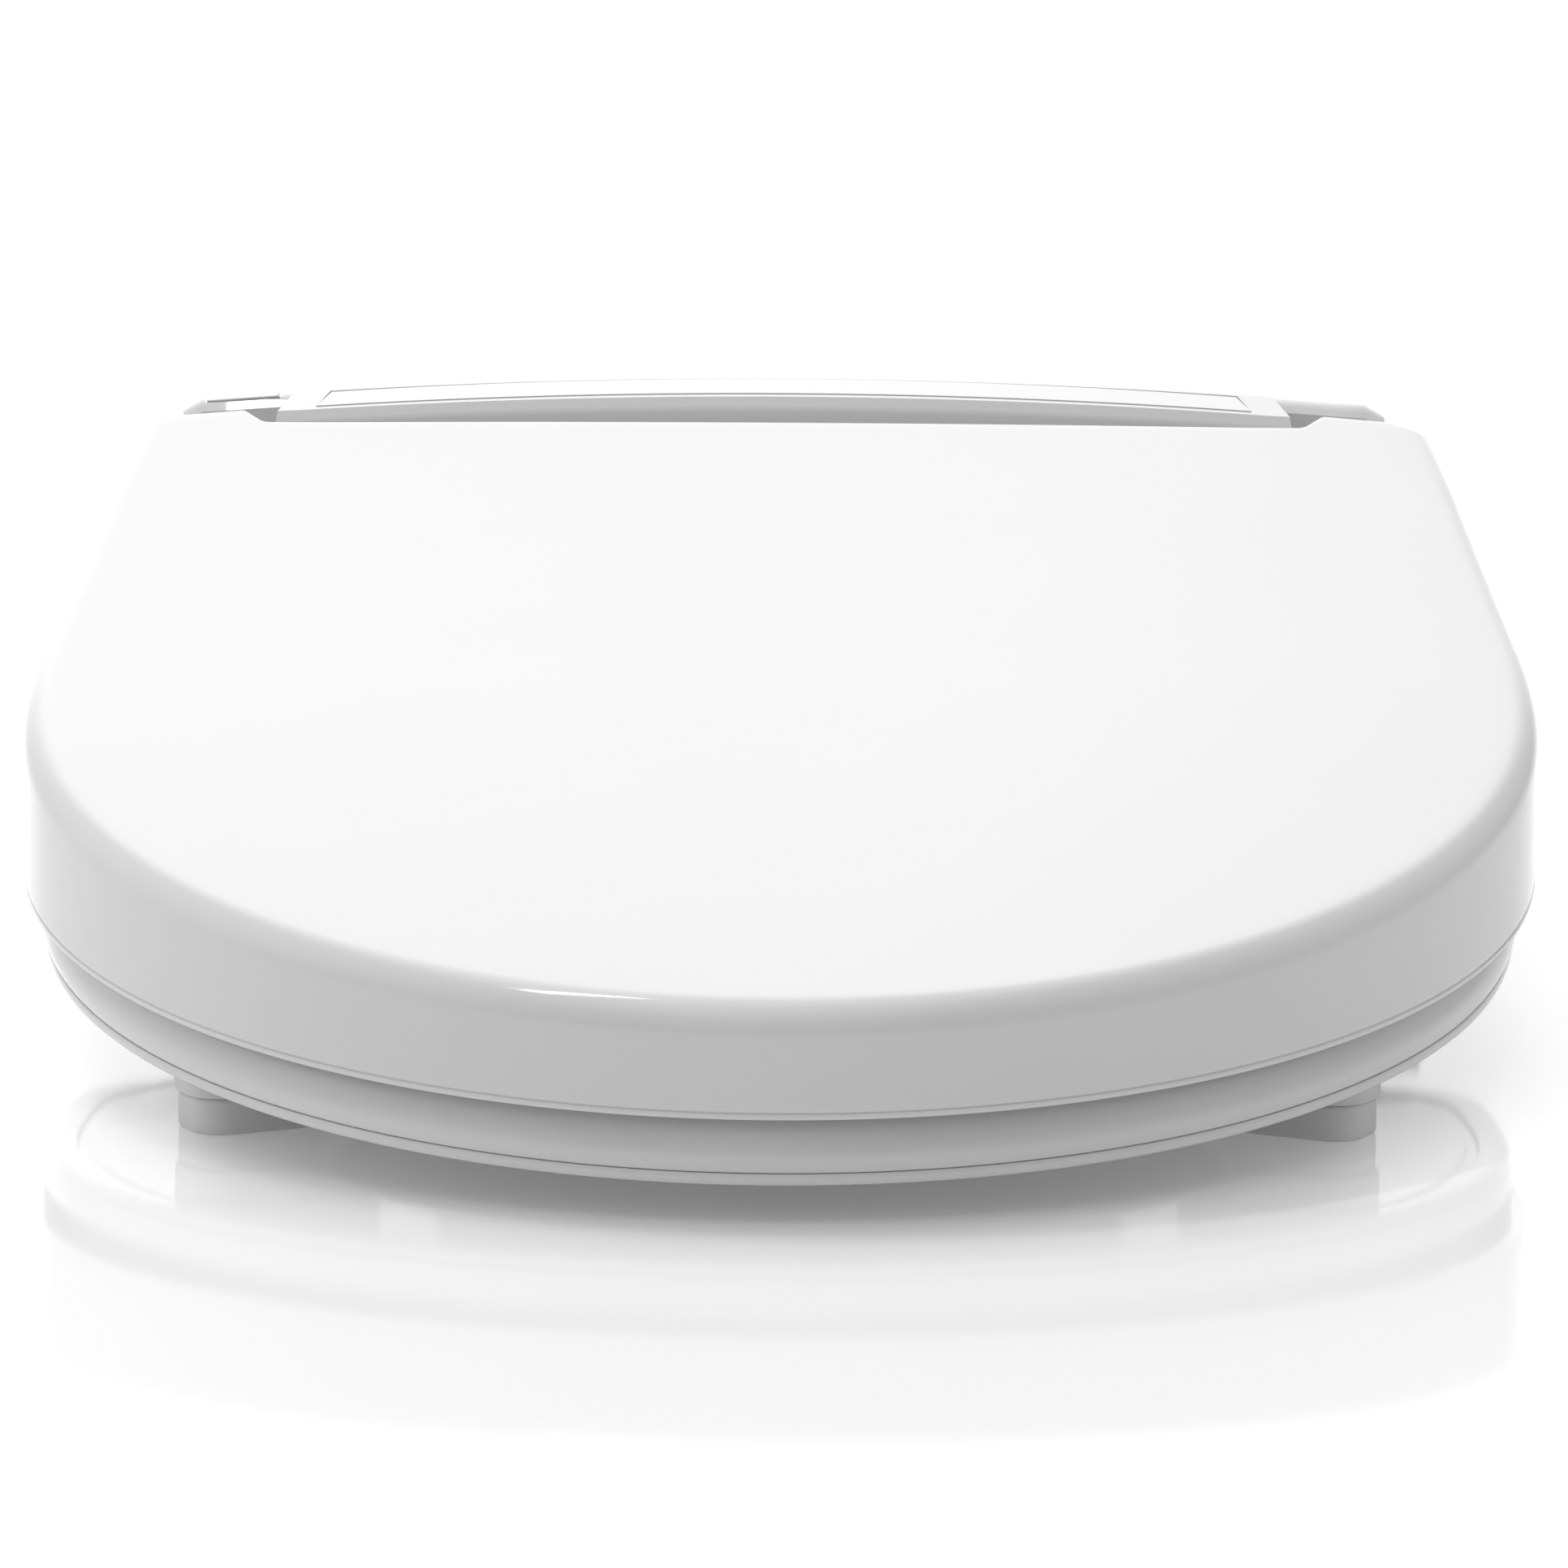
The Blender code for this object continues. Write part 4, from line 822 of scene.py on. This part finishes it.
def cover_moulding():
    rows = [cover_profile(x, wing) for x, wing in cover_stations()]
    body_top_to_rear_foot = (8, len(rows[0]) - 2)
    cover = loft("cover_moulding", rows, closed_loop=False, caps=True, fold=body_top_to_rear_foot)
    thicken(cover, COVER_WALL)
    cut(cover, panel_block("panel_recess", 0.0, PANEL_DEPTH, 5.0))
    for name, low, high in COVER_OPENINGS:
        cut(cover, box_mesh(name, low, high))
    cut(cover, turned("inlet_hole", INLET_HOLE, INLET_CENTRE, (1, 0, 0)))
    rounded(cover, COVER_EDGE, 50.0)
    smooth_shade(cover)
    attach(cover, "unit")
    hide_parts("top_cover")
    return finish(cover, "gloss_white")


def panel_block(name, inset, depth, proud):
    """Block with the deck's curve and slanted ends; the rear edge keeps a closer fit."""
    front, rear = PANEL_FRONT + inset, PANEL_REAR - inset / 4
    rows = []
    for i in range(-DECK_STATIONS, DECK_STATIONS + 1):
        x = (PANEL_HALF - inset) * i / DECK_STATIONS
        back_x = (PANEL_HALF - PANEL_SLANT - inset) * i / DECK_STATIONS
        low, high = deck_height(x, front) - depth, deck_height(x, front) + proud
        rise = DECK_SLOPE * (rear - front)
        rows.append([(x, front, low), (back_x, rear, low + rise), (back_x, rear, high + rise),
                     (x, front, high)])
    return loft(name, rows, caps=True)


def deck_inlay():
    inlay = panel_block("deck_inlay", PANEL_GAP, PANEL_DEPTH - GAP, 0.0)
    rounded(inlay, PANEL_EDGE)
    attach(inlay, "unit")
    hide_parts("deck_panel")
    return finish(inlay, "gloss_white")


def ear_cap():
    """The push-button on the left ear, with the deck's rear rounding."""
    rows = []
    first, last = CAP_INNER + CAP_GAP, CAP_OUTER - CAP_GAP
    start = CAP_FRONT + CAP_GAP
    round_y = Y_REAR - DECK_ROUND
    for i in range(9):
        x = -(first + (last - first) * i / 8)
        row = [(x, start, deck_height(x, start))]
        round_z = deck_height(x, round_y) - DECK_ROUND
        row += [(x, round_y + y, round_z + z) for y, z in arc(DECK_ROUND, 90.0, 0.0, 10)]
        row.append((x, Y_REAR, CAP_BOTTOM + 2.0))
        rows.append(row)
    cap = loft("ear_cap", rows, closed_loop=False)
    thicken(cap, CAP_WALL)
    rounded(cap, CAP_EDGE, 50.0)
    smooth_shade(cap)
    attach(cap, "ear_button")
    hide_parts("ear_button")
    return finish(cap, "gloss_white")


# ---------------------------------------------------------------- stage

def area_light(name, place, target, size, power):
    data = bpy.data.lights.new(name, 'AREA')
    data.shape = 'RECTANGLE'
    data.size, data.size_y = size
    data.energy = power
    light = bpy.data.objects.new(name, data)
    light.location = place
    aim = Vector(target) - Vector(place)
    light.rotation_mode = 'QUATERNION'
    light.rotation_quaternion = aim.to_track_quat('-Z', 'Y')
    bpy.context.scene.collection.objects.link(light)


def studio_world():
    """Soft surroundings: bright above and behind, dim in front, dimmer on the right."""
    world = bpy.data.worlds.new("studio")
    world.use_nodes = True
    nodes, links = world.node_tree.nodes, world.node_tree.links
    background = nodes["Background"]
    place = nodes.new("ShaderNodeTexCoord")
    tilt = nodes.new("ShaderNodeMapping")
    tilt.inputs["Rotation"].default_value = (-SKY_TILT, 0.0, 0.0)
    split = nodes.new("ShaderNodeSeparateXYZ")
    links.new(place.outputs["Generated"], tilt.inputs["Vector"])
    links.new(tilt.outputs["Vector"], split.inputs["Vector"])
    for axis, stops, target in (("X", SKY_SIDES, "Color"), ("Y", SKY_GLOW, "Strength")):
        ramp = world_ramp(nodes, stops)
        reach = nodes.new("ShaderNodeMapRange")
        reach.inputs["From Min"].default_value = -1.0
        links.new(split.outputs[axis], reach.inputs["Value"])
        links.new(reach.outputs["Result"], ramp.inputs["Fac"])
        links.new(ramp.outputs["Color"], background.inputs[target])
    bpy.context.scene.world = world


def world_ramp(nodes, stops):
    """A grey ramp over a direction's component, from (component, brightness) stops."""
    ramp = nodes.new("ShaderNodeValToRGB")
    ramp.color_ramp.interpolation = 'EASE'
    while len(ramp.color_ramp.elements) < len(stops):
        ramp.color_ramp.elements.new(0.5)
    for element, (component, level) in zip(ramp.color_ramp.elements, stops):
        element.position = component / 2 + 0.5
        element.color = (level, level, level, 1.0)
    return ramp


def studio_floor():
    reach = FLOOR_REACH
    corners = [(-reach, -reach, 0), (reach, -reach, 0), (reach, reach, 0), (-reach, reach, 0)]
    floor = piece("floor", corners, [(0, 1, 2, 3)])
    material, nodes, links, shader = shader_nodes("floor_gloss")
    haze = noise(nodes, links, 3.0, 2.0)
    links.new(spread(nodes, links, haze, *FLOOR_ROUGHNESS), shader.inputs["Roughness"])
    shader.inputs["Base Color"].default_value = FLOOR_COLOUR
    shader.inputs["Specular IOR Level"].default_value = FLOOR_SPECULAR
    shader.inputs["Emission Color"].default_value = (1.0, 1.0, 1.0, 1.0)
    shader.inputs["Emission Strength"].default_value = FLOOR_GLOW
    floor.data.materials.append(material)


def make_camera():
    data = bpy.data.cameras.new("camera")
    data.lens = CAMERA_LENS
    data.sensor_width = CAMERA_SENSOR
    data.clip_start, data.clip_end = 0.05, 50.0
    camera = bpy.data.objects.new("camera", data)
    level = CAMERA_DISTANCE * math.cos(CAMERA_RISE)
    target = Vector(CAMERA_TARGET)
    back = Vector((-level * math.sin(CAMERA_YAW), -level * math.cos(CAMERA_YAW),
                   CAMERA_DISTANCE * math.sin(CAMERA_RISE)))
    right = back.cross(Vector((0, 0, -1))).normalized()
    camera.location = (target + back) * MM
    look = right * AIM_OFFSET - back
    camera.rotation_mode = 'QUATERNION'
    camera.rotation_quaternion = (look.to_track_quat('-Z', 'Y')
                                  @ Quaternion((0, 0, 1), CAMERA_ROLL))
    bpy.context.scene.collection.objects.link(camera)
    bpy.context.scene.camera = camera


def make_stage():
    studio_world()
    studio_floor()
    area_light("overhead_strip", STRIP_PLACE, STRIP_TARGET, STRIP_SIZE, STRIP_POWER)
    bpy.context.scene.view_settings.view_transform = 'Standard'


# ---------------------------------------------------------------- assembly

make_camera()
make_stage()
paint_cad_nodes()
lid_moulding()
ring_top_moulding()
ring_underside_moulding()
for side_sign, side_label in ((-1, "left"), (1, "right")):
    front_bumper(side_sign, side_label)
cover_moulding()
deck_inlay()
ear_cap()
